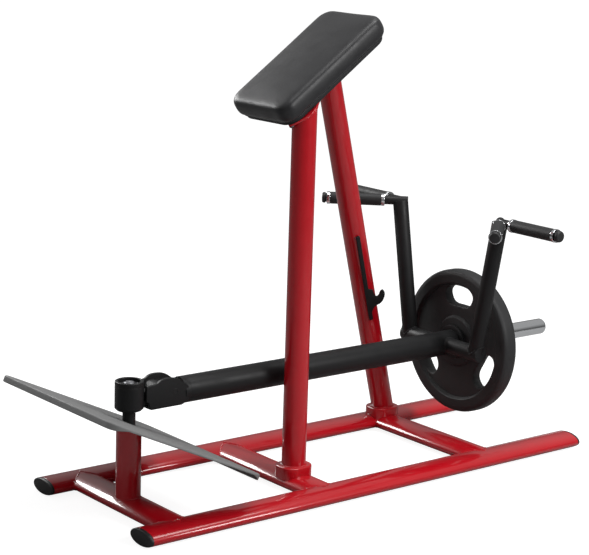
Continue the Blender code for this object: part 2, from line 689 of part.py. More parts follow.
def make_arm(lever):
    """The arm tube, pierced by the handle frame's crossbar, with the plate stop at its end."""
    start = PIN_X + FORK_THROAT + FORK_BLOCK + GAP
    hole = circle(ARM_DIAMETER - 2 * ARM_WALL)
    arm = bar("lever_arm", circle(ARM_DIAMETER), ARM_END_X - GAP - start, "powder_black", lever, hole)
    place(arm, lever_point(start, 0, ARM_HEIGHT), (1, 0, 0), (0, 0, 1))
    reach = FRAME_BAR_SPREAD + FRAME_BAR_DIAMETER / 2
    pierce = bar("cut_arm_crossbar", circle(FRAME_BAR_DIAMETER + 2 * GAP), 2 * reach, "steel", lever)
    place(pierce, lever_point(HANDLE_X, -reach, ARM_HEIGHT), (0, 1, 0), (0, 0, 1))
    cut(arm, pierce)
    sleeve_bore = SLEEVE_DIAMETER + 2 * GAP
    edge = 0.002
    profile = [
        (sleeve_bore, 0),
        (FLANGE_DIAMETER - 2 * edge, 0),
        (FLANGE_DIAMETER, edge),
        (FLANGE_DIAMETER, FLANGE_THICKNESS - edge),
        (FLANGE_DIAMETER - 2 * edge, FLANGE_THICKNESS),
        (sleeve_bore, FLANGE_THICKNESS),
    ]
    stop = turned("plate_stop", profile, "powder_black", lever, closed=True)
    place(stop, lever_point(ARM_END_X, 0, ARM_HEIGHT), (1, 0, 0), (0, 0, 1))


def make_sleeve(lever):
    """The chromed sleeve for weight plates, a tube closed at its outer end by a rounded nose."""
    start = HANDLE_X + FRAME_BAR_DIAMETER / 2 + SLEEVE_CLEARANCE
    length = SLEEVE_END_X - start
    bore = SLEEVE_DIAMETER - 2 * SLEEVE_WALL
    profile = [
        (bore * 0.5, length - SLEEVE_WALL),
        (bore, length - SLEEVE_WALL * 1.5),
        (bore, 0),
        (SLEEVE_DIAMETER, 0),
        (SLEEVE_DIAMETER, length - 0.005),
        (SLEEVE_DIAMETER - 0.002, length - 0.0025),
        (SLEEVE_DIAMETER - 0.008, length - 0.0005),
        (SLEEVE_DIAMETER - 0.014, length),
    ]
    sleeve = turned("weight_sleeve", profile, "chrome", lever)
    place(sleeve, lever_point(start, 0, ARM_HEIGHT), (1, 0, 0), (0, 0, 1))


def make_handle_frame(lever):
    """A crossbar through the arm, two leaning uprights and two handles on each upright."""
    hole = circle(FRAME_BAR_DIAMETER - 2 * FRAME_BAR_WALL)
    reach = FRAME_BAR_SPREAD + FRAME_BAR_DIAMETER / 2
    crossbar = bar("handle_crossbar", circle(FRAME_BAR_DIAMETER), 2 * reach, "powder_black", lever, hole)
    place(crossbar, lever_point(HANDLE_X, -reach, ARM_HEIGHT), (0, 1, 0), (0, 0, 1))
    for side, sign in (("near", -1), ("far", 1)):
        foot = Vector(lever_point(HANDLE_X, sign * FRAME_BAR_SPREAD, ARM_HEIGHT))
        head = Vector(lever_point(HANDLE_X, sign * HANDLE_SPREAD, HANDLE_HEIGHT))
        rise = head - foot
        outside = circle(FRAME_BAR_DIAMETER)
        upright = bar("handle_upright_" + side, outside, rise.length, "powder_black", lever, hole)
        place(upright, foot, rise, (0, 1, 0))
        below = bar("cut_upright_foot_" + side, circle(FRAME_BAR_DIAMETER + 2 * GAP), 2 * reach, "steel", lever)
        place(below, crossbar.location, (0, 1, 0), (0, 0, 1))
        angled = Vector((-math.cos(HANDLE_ANGLE), sign * math.sin(HANDLE_ANGLE), 0))
        wide = Vector((0, sign, 0))
        grown = circle(HANDLE_BAR_DIAMETER + 2 * GAP)
        tools = [below]
        for style, direction in (("angled", angled), ("wide", wide)):
            length = HANDLE_REACH + HANDLE_BACK
            tool = bar("cut_upright_%s_%s" % (style, side), grown, length, "steel", lever)
            tools.append(place(tool, head - direction * HANDLE_BACK, direction, (0, 0, 1)))
        cut(upright, *tools)
        make_handle_bar("handle_bar_angled_" + side, lever, head, angled, HANDLE_BACK)
        wide_bar = make_handle_bar("handle_bar_wide_" + side, lever, head, wide, 0)
        cut(wide_bar, tools[1])
        for style, direction in (("angled", angled), ("wide", wide)):
            make_grip("%s_%s" % (style, side), lever, head, direction)
            make_end_cap("handle_cap_%s_%s" % (style, side), lever, head, direction)


def make_handle_bar(name, lever, head, direction, back):
    hole = circle(HANDLE_BAR_DIAMETER - 2 * HANDLE_BAR_WALL)
    outline = circle(HANDLE_BAR_DIAMETER)
    piece = bar(name, outline, HANDLE_REACH + back, "powder_black", lever, hole)
    return place(piece, head - direction * back, direction, (0, 0, 1))


def make_grip(name, lever, head, direction):
    """A chromed spool with a collar at each end, and the rubber grip held between its collars."""
    bore = HANDLE_BAR_DIAMETER + 2 * GAP
    waist = bore + 2 * SPOOL_WALL
    edge = 0.0015
    inner_end = COLLAR_LENGTH + GRIP_LENGTH + 2 * GAP
    length = inner_end + COLLAR_LENGTH
    profile = [
        (bore, 0),
        (COLLAR_DIAMETER - 2 * edge, 0),
        (COLLAR_DIAMETER, edge),
        (COLLAR_DIAMETER, COLLAR_LENGTH),
        (waist, COLLAR_LENGTH),
        (waist, inner_end),
        (COLLAR_DIAMETER, inner_end),
        (COLLAR_DIAMETER, length - edge),
        (COLLAR_DIAMETER - 2 * edge, length),
        (bore, length),
    ]
    spool = turned("grip_spool_" + name, profile, "chrome", lever, closed=True)
    place(spool, head + direction * (GRIP_START - GAP - COLLAR_LENGTH), direction, (0, 0, 1))
    inside = waist + 2 * GAP
    profile = [
        (inside, 0),
        (GRIP_DIAMETER - edge, 0),
        (GRIP_DIAMETER, edge),
        (GRIP_DIAMETER, GRIP_LENGTH - edge),
        (GRIP_DIAMETER - edge, GRIP_LENGTH),
        (inside, GRIP_LENGTH),
    ]
    grip = turned("grip_" + name, profile, "rubber", lever, closed=True)
    place(grip, head + direction * GRIP_START, direction, (0, 0, 1))


def make_end_cap(name, lever, head, direction):
    """A domed cap plugged into the open end of a handle bar."""
    plug = HANDLE_BAR_DIAMETER - 2 * HANDLE_BAR_WALL - 2 * GAP
    profile = [
        (plug, -0.015),
        (plug, GAP),
        (END_CAP_DIAMETER * 0.96, GAP),
        (END_CAP_DIAMETER, 0.002),
        (END_CAP_DIAMETER, END_CAP_LENGTH * 0.45),
        (END_CAP_DIAMETER * 0.88, END_CAP_LENGTH * 0.8),
        (END_CAP_DIAMETER * 0.60, END_CAP_LENGTH),
    ]
    cap = turned(name, profile, "plastic", lever)
    place(cap, head + direction * HANDLE_REACH, direction, (0, 0, 1))


def grip_hole_outline(count=18):
    """A bean that follows the plate's rim: a rounded oval bent round the plate's centre."""
    turn = np.arange(count) * 2 * math.pi / count
    middle = (GRIP_HOLE_INNER + GRIP_HOLE_OUTER) / 2
    half = (GRIP_HOLE_OUTER - GRIP_HOLE_INNER) / 2
    squareness = 0.75
    across = half * np.sign(np.sin(turn)) * np.abs(np.sin(turn)) ** squareness
    along = GRIP_HOLE_SWEEP * np.sign(np.cos(turn)) * np.abs(np.cos(turn)) ** squareness
    radius = middle + across
    return np.stack([radius * np.sin(along), radius * np.cos(along)], axis=1)


def make_weight_plate(loaded):
    """A rubber plate with a rim, a raised boss, three grip holes and a steel centre ring."""
    half = PLATE_WIDTH / 2
    web = half - PLATE_RECESS
    rim = PLATE_DIAMETER - 2 * PLATE_RIM
    shoulder = 2 * PLATE_SHOULDER
    bore = INSERT_DIAMETER + 2 * GAP
    boss = PLATE_BOSS_DIAMETER
    side = [
        (bore, half - PLATE_BOSS_BACK),
        (boss, half - PLATE_BOSS_BACK),
        (boss + PLATE_RECESS, web),
        (rim, web),
        (rim + PLATE_RECESS, half),
        (PLATE_DIAMETER - shoulder, half),
        (PLATE_DIAMETER - shoulder * 0.3, half - PLATE_SHOULDER * 0.3),
        (PLATE_DIAMETER, half - PLATE_SHOULDER),
    ]
    other = [(diameter, -height) for diameter, height in reversed(side)]
    plate = turned("weight_plate", side + other, "rubber", loaded, PLATE_FACETS, closed=True)
    place(plate, (0, 0, 0), (1, 0, 0), (0, 0, 1))
    for k in range(3):
        hole = slab("cut_grip_hole_%d" % k, grip_hole_outline(), 2 * CUTTER_REACH, "steel", loaded)
        upward = Matrix.Rotation(k * 2 * math.pi / 3, 3, "X") @ Vector((0, 0, 1))
        place(hole, (-CUTTER_REACH, 0, 0), (1, 0, 0), upward)
        cut(plate, hole)
    inside = SLEEVE_DIAMETER + 2 * WALL_SLACK
    edge = 0.001
    profile = [
        (inside, edge - half),
        (inside + 2 * edge, -half),
        (INSERT_DIAMETER, -half),
        (INSERT_DIAMETER, half),
        (inside + 2 * edge, half),
        (inside, half - edge),
    ]
    insert = turned("plate_insert", profile, "steel", loaded, PLATE_FACETS, closed=True)
    place(insert, (0, 0, 0), (1, 0, 0), (0, 0, 1))


def pad_frame():
    """The pad's own axes: along its length, across it and square to its face."""
    along = Vector((math.cos(PAD_TILT), 0, math.sin(PAD_TILT)))
    across = Vector((0, 1, 0))
    return along, across, along.cross(across)


def board_plane_height(x, below=0.0):
    """Height of the board's underside at a distance along X, moved down square to the board."""
    total = PAD_THICKNESS + BOARD_THICKNESS + GAP
    drop = (total / 2 + below) / math.cos(PAD_TILT)
    return PAD_HEIGHT + (x - PAD_CENTRE_X) * math.tan(PAD_TILT) - drop


def make_upright(name, base, foot, head, rail_side=None):
    """A round upright on a collar, cut off along the underside of the pad's bracket."""
    rise = Vector(head) - Vector(foot)
    length = rise.length + 2 * UPRIGHT_OVERLAP
    hole = circle(UPRIGHT_DIAMETER - 2 * UPRIGHT_WALL)
    upright = bar(name, circle(UPRIGHT_DIAMETER), length, "powder_red", base, hole)
    place(upright, Vector(foot) - rise.normalized() * UPRIGHT_OVERLAP, rise, (0, 1, 0))
    along, across, outward = pad_frame()
    lid = slab("cut_" + name + "_top", square(TRIM_SIZE), 3 * CUTTER_REACH, "steel", base)
    place(lid, head, outward, across)
    collar = rounded_rectangle(FOOT_FLANGE_LENGTH, FOOT_FLANGE_WIDTH, FOOT_FLANGE_CORNER)
    base_cut = slab("cut_" + name + "_foot", square(TRIM_SIZE), CUTTER_REACH, "steel", base)
    place(base_cut, (foot[0], foot[1], FLANGE_TOP + GAP - CUTTER_REACH))
    cut(upright, lid, base_cut)
    make_upright_flange(name + "_flange", base, foot, collar, rail_side)
    make_pad_bracket(name + "_bracket", base, head)


def make_upright_flange(name, base, foot, collar, rail_side):
    """A thick collar with rounded edges that sits down over the frame tubes."""
    bottom = TUBE_CENTRE + FOOT_FLANGE_SKIRT
    edge = 0.003
    length, width = FOOT_FLANGE_LENGTH - 2 * edge, FOOT_FLANGE_WIDTH - 2 * edge
    small = rounded_rectangle(length, width, FOOT_FLANGE_CORNER - edge)
    rings = [ring(collar, bottom), ring(collar, FLANGE_TOP - edge), ring(small, FLANGE_TOP)]
    flange = loft(name, rings, "powder_red", base)
    flange.location = (foot[0], foot[1], 0)
    start = (foot[0], -RAIL_SPACING / 2, TUBE_CENTRE)
    cut(flange, frame_cutter("cut_" + name + "_cross", base, (0, 1, 0), start, RAIL_SPACING))
    if rail_side is not None:
        start = (foot[0] - TUBE_WIDTH, rail_side * RAIL_SPACING / 2, TUBE_CENTRE)
        cut(flange, frame_cutter("cut_" + name + "_rail", base, (1, 0, 0), start, 2 * TUBE_WIDTH))


def bracket_outline(count=40):
    """A rounded diamond, wide over the upright and narrow at its two screws."""
    turn = (np.arange(count) + 0.5) * 2 * math.pi / count
    power = 2 / BRACKET_FULLNESS
    along = BRACKET_LENGTH / 2 * np.sign(np.cos(turn)) * np.abs(np.cos(turn)) ** power
    across = BRACKET_WIDTH / 2 * np.sign(np.sin(turn)) * np.abs(np.sin(turn)) ** power
    return np.stack([along, across], axis=1)


def make_pad_bracket(name, base, head):
    """A flat plate welded on the upright's sloping top, screwed up into the pad board."""
    along, across, outward = pad_frame()
    bracket = slab(name, bracket_outline(), BRACKET_THICKNESS, "powder_red", base)
    place(bracket, Vector(head) + outward * GAP, outward, across)
    reach = BOARD_THICKNESS * SCREW_BITE + BRACKET_THICKNESS
    below = 2 * SCREW_HEAD_HEIGHT
    for place_name, side in (("low", -1), ("high", 1)):
        spot = Vector(head) + along * side * BRACKET_SCREW_OFFSET
        screw = make_screw(name + "_screw_" + place_name, base, reach)
        place(screw, spot, -outward, across)
        hole = circle(SCREW_DIAMETER + 2 * WALL_SLACK, SMALL_FACETS)
        bore = bar("cut_" + name + "_" + place_name, hole, reach + WALL_SLACK + below, "steel", base)
        place(bore, spot - outward * below, outward, across)
        cut(bracket, bore)
        cut(bpy.data.objects["pad_board"], bore)


def make_pad(base):
    """The chest pad: a board and a crowned cushion whose sides draw in towards the board."""
    along, across, outward = pad_frame()
    middle = Vector((PAD_CENTRE_X, 0, PAD_HEIGHT))
    total = PAD_THICKNESS + BOARD_THICKNESS + GAP
    trim = 2 * BOARD_INSET
    outline = rounded_rectangle(PAD_LENGTH - trim, PAD_WIDTH - trim, BOARD_CORNER, 6)
    board = slab("pad_board", outline, BOARD_THICKNESS, "board", base)
    place(board, middle - outward * total / 2, outward, across)
    rings = []
    for inset, share in CUSHION_SIDE:
        corner = max(PAD_CORNER - inset * 0.4, PAD_CORNER * 0.3)
        section = rounded_rectangle(PAD_LENGTH - 2 * inset, PAD_WIDTH - 2 * inset, corner, 6)
        rings.append(ring(section, PAD_THICKNESS * share))
    cushion = loft("pad_cushion", rings, "vinyl", base)
    place(cushion, middle + outward * (BOARD_THICKNESS + GAP - total / 2), outward, across)


def hook_outline():
    """Outline of the catch about its top: a long strap with a J on one edge that opens upwards."""
    half = CATCH_WIDTH / 2
    strap = [(half, 0), (-half, 0), (-half, -CATCH_LENGTH), (half, -CATCH_LENGTH)]
    return np.array(strap + [(half + out, up - HOOK_DROP) for out, up in HOOK_EDGE])


def make_catch(base, foot, head):
    """The catch is a strap welded to the rear upright, turned a little away from the lever."""
    rise = (Vector(head) - Vector(foot)).normalized()
    share = (CATCH_TOP_HEIGHT - foot[2]) / (head[2] - foot[2])
    spot = Vector(foot) + (Vector(head) - Vector(foot)) * share
    outward = Vector((-math.sin(CATCH_TURN), -math.cos(CATCH_TURN), 0))
    outward = (outward - rise * outward.dot(rise)).normalized()
    catch = slab("lever_catch", hook_outline(), CATCH_THICKNESS, "powder_black", base)
    place(catch, spot + outward * (UPRIGHT_DIAMETER / 2 + GAP), outward, rise)


def make_uprights(base):
    """The front upright is plumb; the rear one leans in from the frame's corner to the pad."""
    below = BRACKET_THICKNESS + 2 * GAP
    foot = (MIDDLE_CROSS_X, FRONT_UPRIGHT_Y, FLANGE_TOP)
    head = (MIDDLE_CROSS_X, FRONT_UPRIGHT_Y, board_plane_height(MIDDLE_CROSS_X, below))
    make_upright("upright_front", base, foot, head)
    top_x = PAD_CENTRE_X + REAR_UPRIGHT_BEYOND_PAD
    foot = (REAR_CROSS_X, REAR_UPRIGHT_FOOT_Y, FLANGE_TOP)
    head = (top_x, REAR_UPRIGHT_TOP_Y, board_plane_height(top_x, below))
    make_upright("upright_rear", base, foot, head, 1)
    make_catch(base, foot, head)


def build_machine():
    clear_scene()
    base = empty("base_frame", None, (SWIVEL_X, 0, 0))
    swivel = empty("swivel_axis", base, (0, 0, 0))
    lever = empty("lever_axis", swivel, (PIN_X, 0, PIN_HEIGHT))
    loaded = empty("plate_axis", lever, lever_point(PLATE_CENTRE_X, 0, ARM_HEIGHT))
    make_rails(base)
    make_front_post(base)
    make_foot_plate(base)
    make_spindle(base)
    make_pad(base)
    make_uprights(base)
    make_swivel(swivel)
    make_fork(lever)
    make_arm(lever)
    make_sleeve(lever)
    make_handle_frame(lever)
    make_weight_plate(loaded)


build_machine()
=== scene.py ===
"""Looks of a chest-supported lever row machine.

The machine stands on two oval rails. X runs from the foot plate to the weight plate, Y across, Z up.
Places are given from the swivel axis of the lever and from the floor, in metres.
"""
import math

import bmesh
import bpy
import numpy as np
from mathutils import Matrix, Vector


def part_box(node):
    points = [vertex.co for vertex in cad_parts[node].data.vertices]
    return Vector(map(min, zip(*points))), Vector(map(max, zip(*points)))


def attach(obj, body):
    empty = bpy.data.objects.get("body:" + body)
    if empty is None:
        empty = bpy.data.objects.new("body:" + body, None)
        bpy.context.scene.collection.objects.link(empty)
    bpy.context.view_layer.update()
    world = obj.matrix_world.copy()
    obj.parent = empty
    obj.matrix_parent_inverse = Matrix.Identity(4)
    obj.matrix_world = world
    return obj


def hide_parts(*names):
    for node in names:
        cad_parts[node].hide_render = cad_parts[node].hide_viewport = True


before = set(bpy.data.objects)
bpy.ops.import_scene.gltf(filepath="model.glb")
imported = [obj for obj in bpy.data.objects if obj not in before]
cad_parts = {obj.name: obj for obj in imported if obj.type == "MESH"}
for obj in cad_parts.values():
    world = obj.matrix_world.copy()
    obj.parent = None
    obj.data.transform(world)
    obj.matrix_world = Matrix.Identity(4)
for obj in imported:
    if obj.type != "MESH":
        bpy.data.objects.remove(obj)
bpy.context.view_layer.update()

# Rails. Two lengths of oval steel tube lie on the floor and carry everything else.
# They are welded to the cross members, blasted and powder coated in a glossy red.

SWIVEL_X = float(np.mean([corner[0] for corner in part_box("spindle")]))
TUBE_WIDTH, TUBE_HEIGHT = 0.104, 0.045
RAIL_START, RAIL_END, RAIL_Y = -0.115, 1.482, 0.2475
TURN = 2 * math.pi


def spot(x, y, z):
    """A point whose X is counted from the swivel axis."""
    return np.array((SWIVEL_X + x, y, z), float)


def unit(vector):
    vector = np.asarray(vector, float)
    return vector / np.linalg.norm(vector)


def facing(direction, up=(0, 0, 1)):
    """Three unit vectors: across, upward and along the direction."""
    along = unit(direction)
    across = unit(np.cross(up, along))
    return np.array((across, np.cross(along, across), along))


def oval(width, height, count=96):
    """An ellipse: (w/2 cos t, h/2 sin t) for t once round."""
    t = np.arange(count) * TURN / count
    return np.stack([width / 2 * np.cos(t), height / 2 * np.sin(t)], axis=1)


def soften(points, radius, steps=6, closed=False):
    """Round a line's corners: (1-s)^2 a + 2s(1-s) p + s^2 b, where a and b lie on the edges beside corner p,
    the radius away from it or 0.45 of the edge if that is less."""
    points = np.asarray(points, float)
    before, after = np.roll(points, 1, axis=0), np.roll(points, -1, axis=0)
    reach = np.full(len(points), float(radius)) if np.isscalar(radius) else np.asarray(radius, float)
    if not closed:
        reach[[0, -1]] = 0
    s = np.linspace(0, 1, steps)[None, :, None]

    def beside(other):
        length = np.maximum(np.linalg.norm(other - points, axis=1), 1e-12)
        return points + (other - points) * (np.minimum(reach, 0.45 * length) / length)[:, None]

    a, b, p = beside(before)[:, None], beside(after)[:, None], points[:, None]
    curve = ((1 - s) ** 2 * a + 2 * s * (1 - s) * p + s ** 2 * b).reshape(-1, 2)
    moved = np.linalg.norm(curve - np.roll(curve, 1, axis=0), axis=1) > 1e-7
    moved[0] = moved[0] or not closed
    return curve[moved]


def surface(name, grid, look, ring=False, sharp=40.0):
    """A skin through rows of points. Each row closes on itself; the last row joins the first on a ring,
    and otherwise the first and last rows are filled, or meet in one point."""
    rows, columns = grid.shape[:2]
    index = np.arange(rows * columns).reshape(rows, columns)
    beside, below = np.roll(index, -1, axis=1), np.roll(index, -1, axis=0)
    quads = np.stack([index, beside, np.roll(beside, -1, axis=0), below], axis=-1)
    faces = quads[:rows if ring else rows - 1].reshape(-1, 4).tolist()
    if not ring:
        faces += [index[0].tolist(), index[-1].tolist()]
    mesh = bpy.data.meshes.new(name)
    mesh.from_pydata(grid.reshape(-1, 3).tolist(), [], faces)
    shape = bmesh.new()
    shape.from_mesh(mesh)
    bmesh.ops.remove_doubles(shape, verts=shape.verts, dist=1e-6)
    bmesh.ops.recalc_face_normals(shape, faces=shape.faces)
    shape.to_mesh(mesh)
    shape.free()
    mesh.shade_smooth()
    mesh.set_sharp_from_angle(angle=math.radians(sharp))
    mesh.materials.append(look)
    piece = bpy.data.objects.new(name, mesh)
    bpy.context.scene.collection.objects.link(piece)
    return piece


def tube(name, outline, start, end, look, up=(0, 0, 1), edge=0.0006):
    """A straight tube end to end: the outline carried along and drawn in by a quarter round at each end."""
    start, end = np.asarray(start, float), np.asarray(end, float)
    across, upward, along = facing(end - start, up)
    length = np.linalg.norm(end - start)
    a = np.linspace(0, math.pi / 2, 4)
    inset = np.concatenate([edge * (1 - np.sin(a)), edge * (1 - np.cos(a))])
    height = np.concatenate([edge * (1 - np.cos(a)), length - edge * (1 - np.sin(a))])
    half = np.abs(outline).max(axis=0)
    flat = outline[None] * (1 - inset[:, None, None] / half)
    grid = start + flat[..., :1] * across + flat[..., 1:] * upward + height[:, None, None] * along
    return surface(name, grid, look)


def linear(colour):
    """An sRGB hex colour in linear light: ((c + 0.055) / 1.055) ^ 2.4, or c / 12.92 where it is dark."""
    c = np.array([int(colour[k:k + 2], 16) / 255 for k in (1, 3, 5)])
    c = np.where(c > 0.04045, ((c + 0.055) / 1.055) ** 2.4, c / 12.92)
    return (*c.tolist(), 1.0)


# The Mix node's colour sockets share their names with its other types, so they go by number.
FIRST_COLOUR, SECOND_COLOUR, MIXED_COLOUR = 6, 7, 2


def add_node(look, kind, settings=None, links=None):
    """Add one node, set its sockets or properties, and link its sockets from (node, output) pairs."""
    node = look.node_tree.nodes.new(kind)
    for key, value in (settings or {}).items():
        if key in node.inputs:
            node.inputs[key].default_value = value
        else:
            setattr(node, key, value)
    for key, (source, output) in (links or {}).items():
        look.node_tree.links.new(source.outputs[output], node.inputs[key])
    return node


def finish(name, sockets, colours, patch, shine, grain, depth, detail=3.0):
    """A finish with a colour that drifts between two tones over patches, a roughness that varies between
    the two values of shine, and a fine relief of the given grain and depth in metres."""
    look = bpy.data.materials.new(name)
    look.use_nodes = True
    shader = look.node_tree.nodes["Principled BSDF"]
    for socket, value in sockets.items():
        shader.inputs[socket].default_value = value
    place = add_node(look, "ShaderNodeTexCoord")
    drift = add_node(look, "ShaderNodeTexNoise", {"Scale": 1 / patch, "Detail": 4.0},
                     {"Vector": (place, "Object")})
    tone = add_node(look, "ShaderNodeMix", {"data_type": "RGBA"})
    tone.inputs[FIRST_COLOUR].default_value = linear(colours[0])
    tone.inputs[SECOND_COLOUR].default_value = linear(colours[1])
    look.node_tree.links.new(drift.outputs["Fac"], tone.inputs["Factor"])
    look.node_tree.links.new(tone.outputs[MIXED_COLOUR], shader.inputs["Base Color"])
    dull = add_node(look, "ShaderNodeMapRange",
                    {"From Min": 0.3, "From Max": 0.7, "To Min": shine[0], "To Max": shine[1]},
                    {"Value": (drift, "Fac")})
    look.node_tree.links.new(dull.outputs["Result"], shader.inputs["Roughness"])
    fine = add_node(look, "ShaderNodeTexNoise", {"Scale": 1 / grain, "Detail": detail},
                    {"Vector": (place, "Object")})
    bump = add_node(look, "ShaderNodeBump", {"Distance": depth}, {"Height": (fine, "Fac")})
    look.node_tree.links.new(bump.outputs["Normal"], shader.inputs["Normal"])
    return look


def show(piece, body, slot, *nodes):
    """The piece moves with a body and stands for the named nodes, which are hidden; the slot is not used."""
    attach(piece, body)
    if nodes:
        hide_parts(*nodes)
    return piece


# Polyester powder coat, sprayed and baked: deep red under a glossy skin with a faint orange peel.
red_coat = finish("red_powder_coat", {"Coat Weight": 0.8, "Coat Roughness": 0.07, "Specular IOR Level": 0.20},
                  ("#B00414", "#BC0719"), 0.06, (0.30, 0.38), 0.0026, 0.00004)

oval_tube = oval(TUBE_WIDTH, TUBE_HEIGHT)
for side, y in (("near", -RAIL_Y), ("far", RAIL_Y)):
    rail = tube("oval_rail_" + side, oval_tube, spot(RAIL_START, y, TUBE_HEIGHT / 2),
                spot(RAIL_END, y, TUBE_HEIGHT / 2), red_coat)
    show(rail, "base", "red_coat", "rail_" + side)

# Rail caps. Moulded polypropylene plugs pushed into the rails' open ends, with a low domed face.
# The mould leaves a fine spark-eroded texture on them.

CAP_LENGTH = 0.010
CAP_FIT = 0.995

moulded_black = finish("moulded_polypropylene", {"Specular IOR Level": 0.4}, ("#1B1B1C", "#222223"), 0.02,
                       (0.42, 0.55), 0.0009, 0.00004)


def domed(outline, start, direction, height, look, name, up=(0, 0, 1), share=0.24):
    """A low dome over an outline: scale (1 - q^p) falls from 1 to 0 while the height rises as sin."""
    across, upward, along = facing(direction, up)
    a = np.linspace(0, math.pi / 2, 12)
    scale = np.concatenate([[1.0, 1.0], 1 - share * (1 - np.cos(a)), [0.4, 0.0]])
    lift = np.concatenate([[0.0, 0.3], 0.3 + 0.66 * np.sin(a), [0.99, 1.0]]) * height
    flat = outline[None] * scale[:, None, None]
    grid = start + flat[..., :1] * across + flat[..., 1:] * upward + lift[:, None, None] * along
    return surface(name, grid, look)


for side, y in (("near", -RAIL_Y), ("far", RAIL_Y)):
    for end, x, outward in (("front", RAIL_START, -1), ("rear", RAIL_END, 1)):
        cap = domed(oval_tube * CAP_FIT, spot(x, y, TUBE_HEIGHT / 2), (outward, 0, 0), CAP_LENGTH,
                    moulded_black, "domed_cap_%s_%s" % (side, end), share=0.12)
        show(cap, "base", "black_plastic", "rail_cap_%s_%s" % (side, end))

# Cross members. Three short lengths of the same oval tube, coped at both ends to saddle the rails
# and welded all round. The weld beads stay visible under the paint as fine ripples.

CROSS_X = {"front": 0.0, "middle": 0.507, "rear": 1.126}
CROSS_REACH = RAIL_Y - TUBE_WIDTH * 0.15
CROSS_BEAD = 0.0016


def weld(name, path, radius, look, pitch=0.0032):
    """A weld bead on a closed path: a ring section of radius r (1 + 0.13 sin(2 pi s / pitch)) carried along
    it, so that it ripples like overlapping puddles."""
    step = np.roll(path, -1, axis=0) - path
    length = np.linalg.norm(step, axis=1)
    run = np.concatenate([[0], np.cumsum(length)])
    ripples = max(8, round(run[-1] / pitch))
    at = np.arange(ripples * 5) * run[-1] / (ripples * 5)
    looped = np.concatenate([path, path[:1]])
    line = np.stack([np.interp(at, run, looped[:, k]) for k in range(3)], axis=1)
    along = np.roll(line, -1, axis=0) - np.roll(line, 1, axis=0)
    along /= np.linalg.norm(along, axis=1)[:, None]
    outward = line - line.mean(axis=0)
    outward -= (outward * along).sum(axis=1)[:, None] * along
    outward /= np.linalg.norm(outward, axis=1)[:, None]
    third = np.cross(along, outward)
    swell = radius * (1 + 0.13 * np.sin(np.arange(len(at)) * TURN / 5))
    t = np.arange(10) * TURN / 10
    grid = line[:, None] + swell[:, None, None] * (np.cos(t)[None, :, None] * outward[:, None]
                                                   + np.sin(t)[None, :, None] * third[:, None])
    return surface(name, grid, look, ring=True, sharp=80.0)


for where, x in CROSS_X.items():
    member = tube("oval_cross_" + where, oval_tube, spot(x, -CROSS_REACH, TUBE_HEIGHT / 2),
                  spot(x, CROSS_REACH, TUBE_HEIGHT / 2), red_coat)
    show(member, "base", "red_coat", "cross_member_" + where)
    for side, sign in (("near", -1), ("far", 1)):
        t = np.arange(160) * TURN / 160
        saddle = np.stack([SWIVEL_X + x + TUBE_WIDTH / 2 * np.cos(t),
                           sign * (RAIL_Y - TUBE_WIDTH / 2 * np.abs(np.cos(t))),
                           TUBE_HEIGHT / 2 * (1 + np.sin(t))], axis=1)
        show(weld("weld_%s_%s" % (where, side), saddle, CROSS_BEAD, red_coat), "base", "red_coat")

# Front post. A round steel tube that stands on the front cross member and holds the spindle;
# its foot is coped and welded, and its top is cut to the slope of the foot plate.

POST_DIAMETER = 0.070
PLATE_SLOPE = math.radians(25.0)
FOOT_PLATE_Z = 0.252
FOOT_SHEET, MOUNT_THICKNESS = 0.004, 0.008
POST_SINK, TUBE_BEAD = 0.002, 0.0022


def bent_tube(name, diameter, rows, look, count=96):
    """A round tube along Z between two cut surfaces: x = d/2 cos t, y = d/2 sin t, and z from each row's
    own height at (x, y)."""
    t = np.arange(count) * TURN / count
    x, y = diameter / 2 * np.cos(t), diameter / 2 * np.sin(t)
    grid = np.stack([np.stack([SWIVEL_X + x, y, row(x, y)], axis=1) for row in rows])
    return surface(name, grid, look)


def oval_top(x):
    """Height of a frame tube's upper side at a distance x from its middle."""
    return TUBE_HEIGHT / 2 * (1 + np.sqrt(np.maximum(0, 1 - (x / (TUBE_WIDTH / 2)) ** 2)))


slope_drop = (FOOT_SHEET + MOUNT_THICKNESS) / math.cos(PLATE_SLOPE)
post = bent_tube("round_post", POST_DIAMETER,
                 [lambda x, y: oval_top(x) - POST_SINK,
                  lambda x, y: FOOT_PLATE_Z - slope_drop - x * math.tan(PLATE_SLOPE)], red_coat)
show(post, "base", "red_coat", "front_post")
t = np.arange(120) * TURN / 120
foot_ring = np.stack([SWIVEL_X + POST_DIAMETER / 2 * np.cos(t), POST_DIAMETER / 2 * np.sin(t),
                      oval_top(POST_DIAMETER / 2 * np.cos(t))], axis=1)
show(weld("weld_post_foot", foot_ring, TUBE_BEAD, red_coat), "base", "red_coat")

# Foot plate mount. A flat steel square welded across the sloping top of the post,
# in the frame's red; the foot plate is tacked down on it.

MOUNT_SIZE, MOUNT_CORNER = 0.130, 0.012


def rounded_rectangle(length, width, radius, steps=9):
    """A rectangle with a quarter circle of the given radius at each corner."""
    a = (np.arange(4)[:, None] + np.linspace(0, 1, steps)[None]) * math.pi / 2
    side = np.array([(1, 1), (-1, 1), (-1, -1), (1, -1)])[:, None]
    centre = side * (np.array((length, width)) / 2 - radius)
    return (centre + radius * np.stack([np.cos(a), np.sin(a)], axis=-1)).reshape(-1, 2)


def drawn_in(outline, inset):
    """The outline moved inwards along its normals."""
    along = np.roll(outline, -1, axis=0) - np.roll(outline, 1, axis=0)
    along /= np.linalg.norm(along, axis=1)[:, None]
    return outline - inset * np.stack([along[:, 1], -along[:, 0]], axis=1)


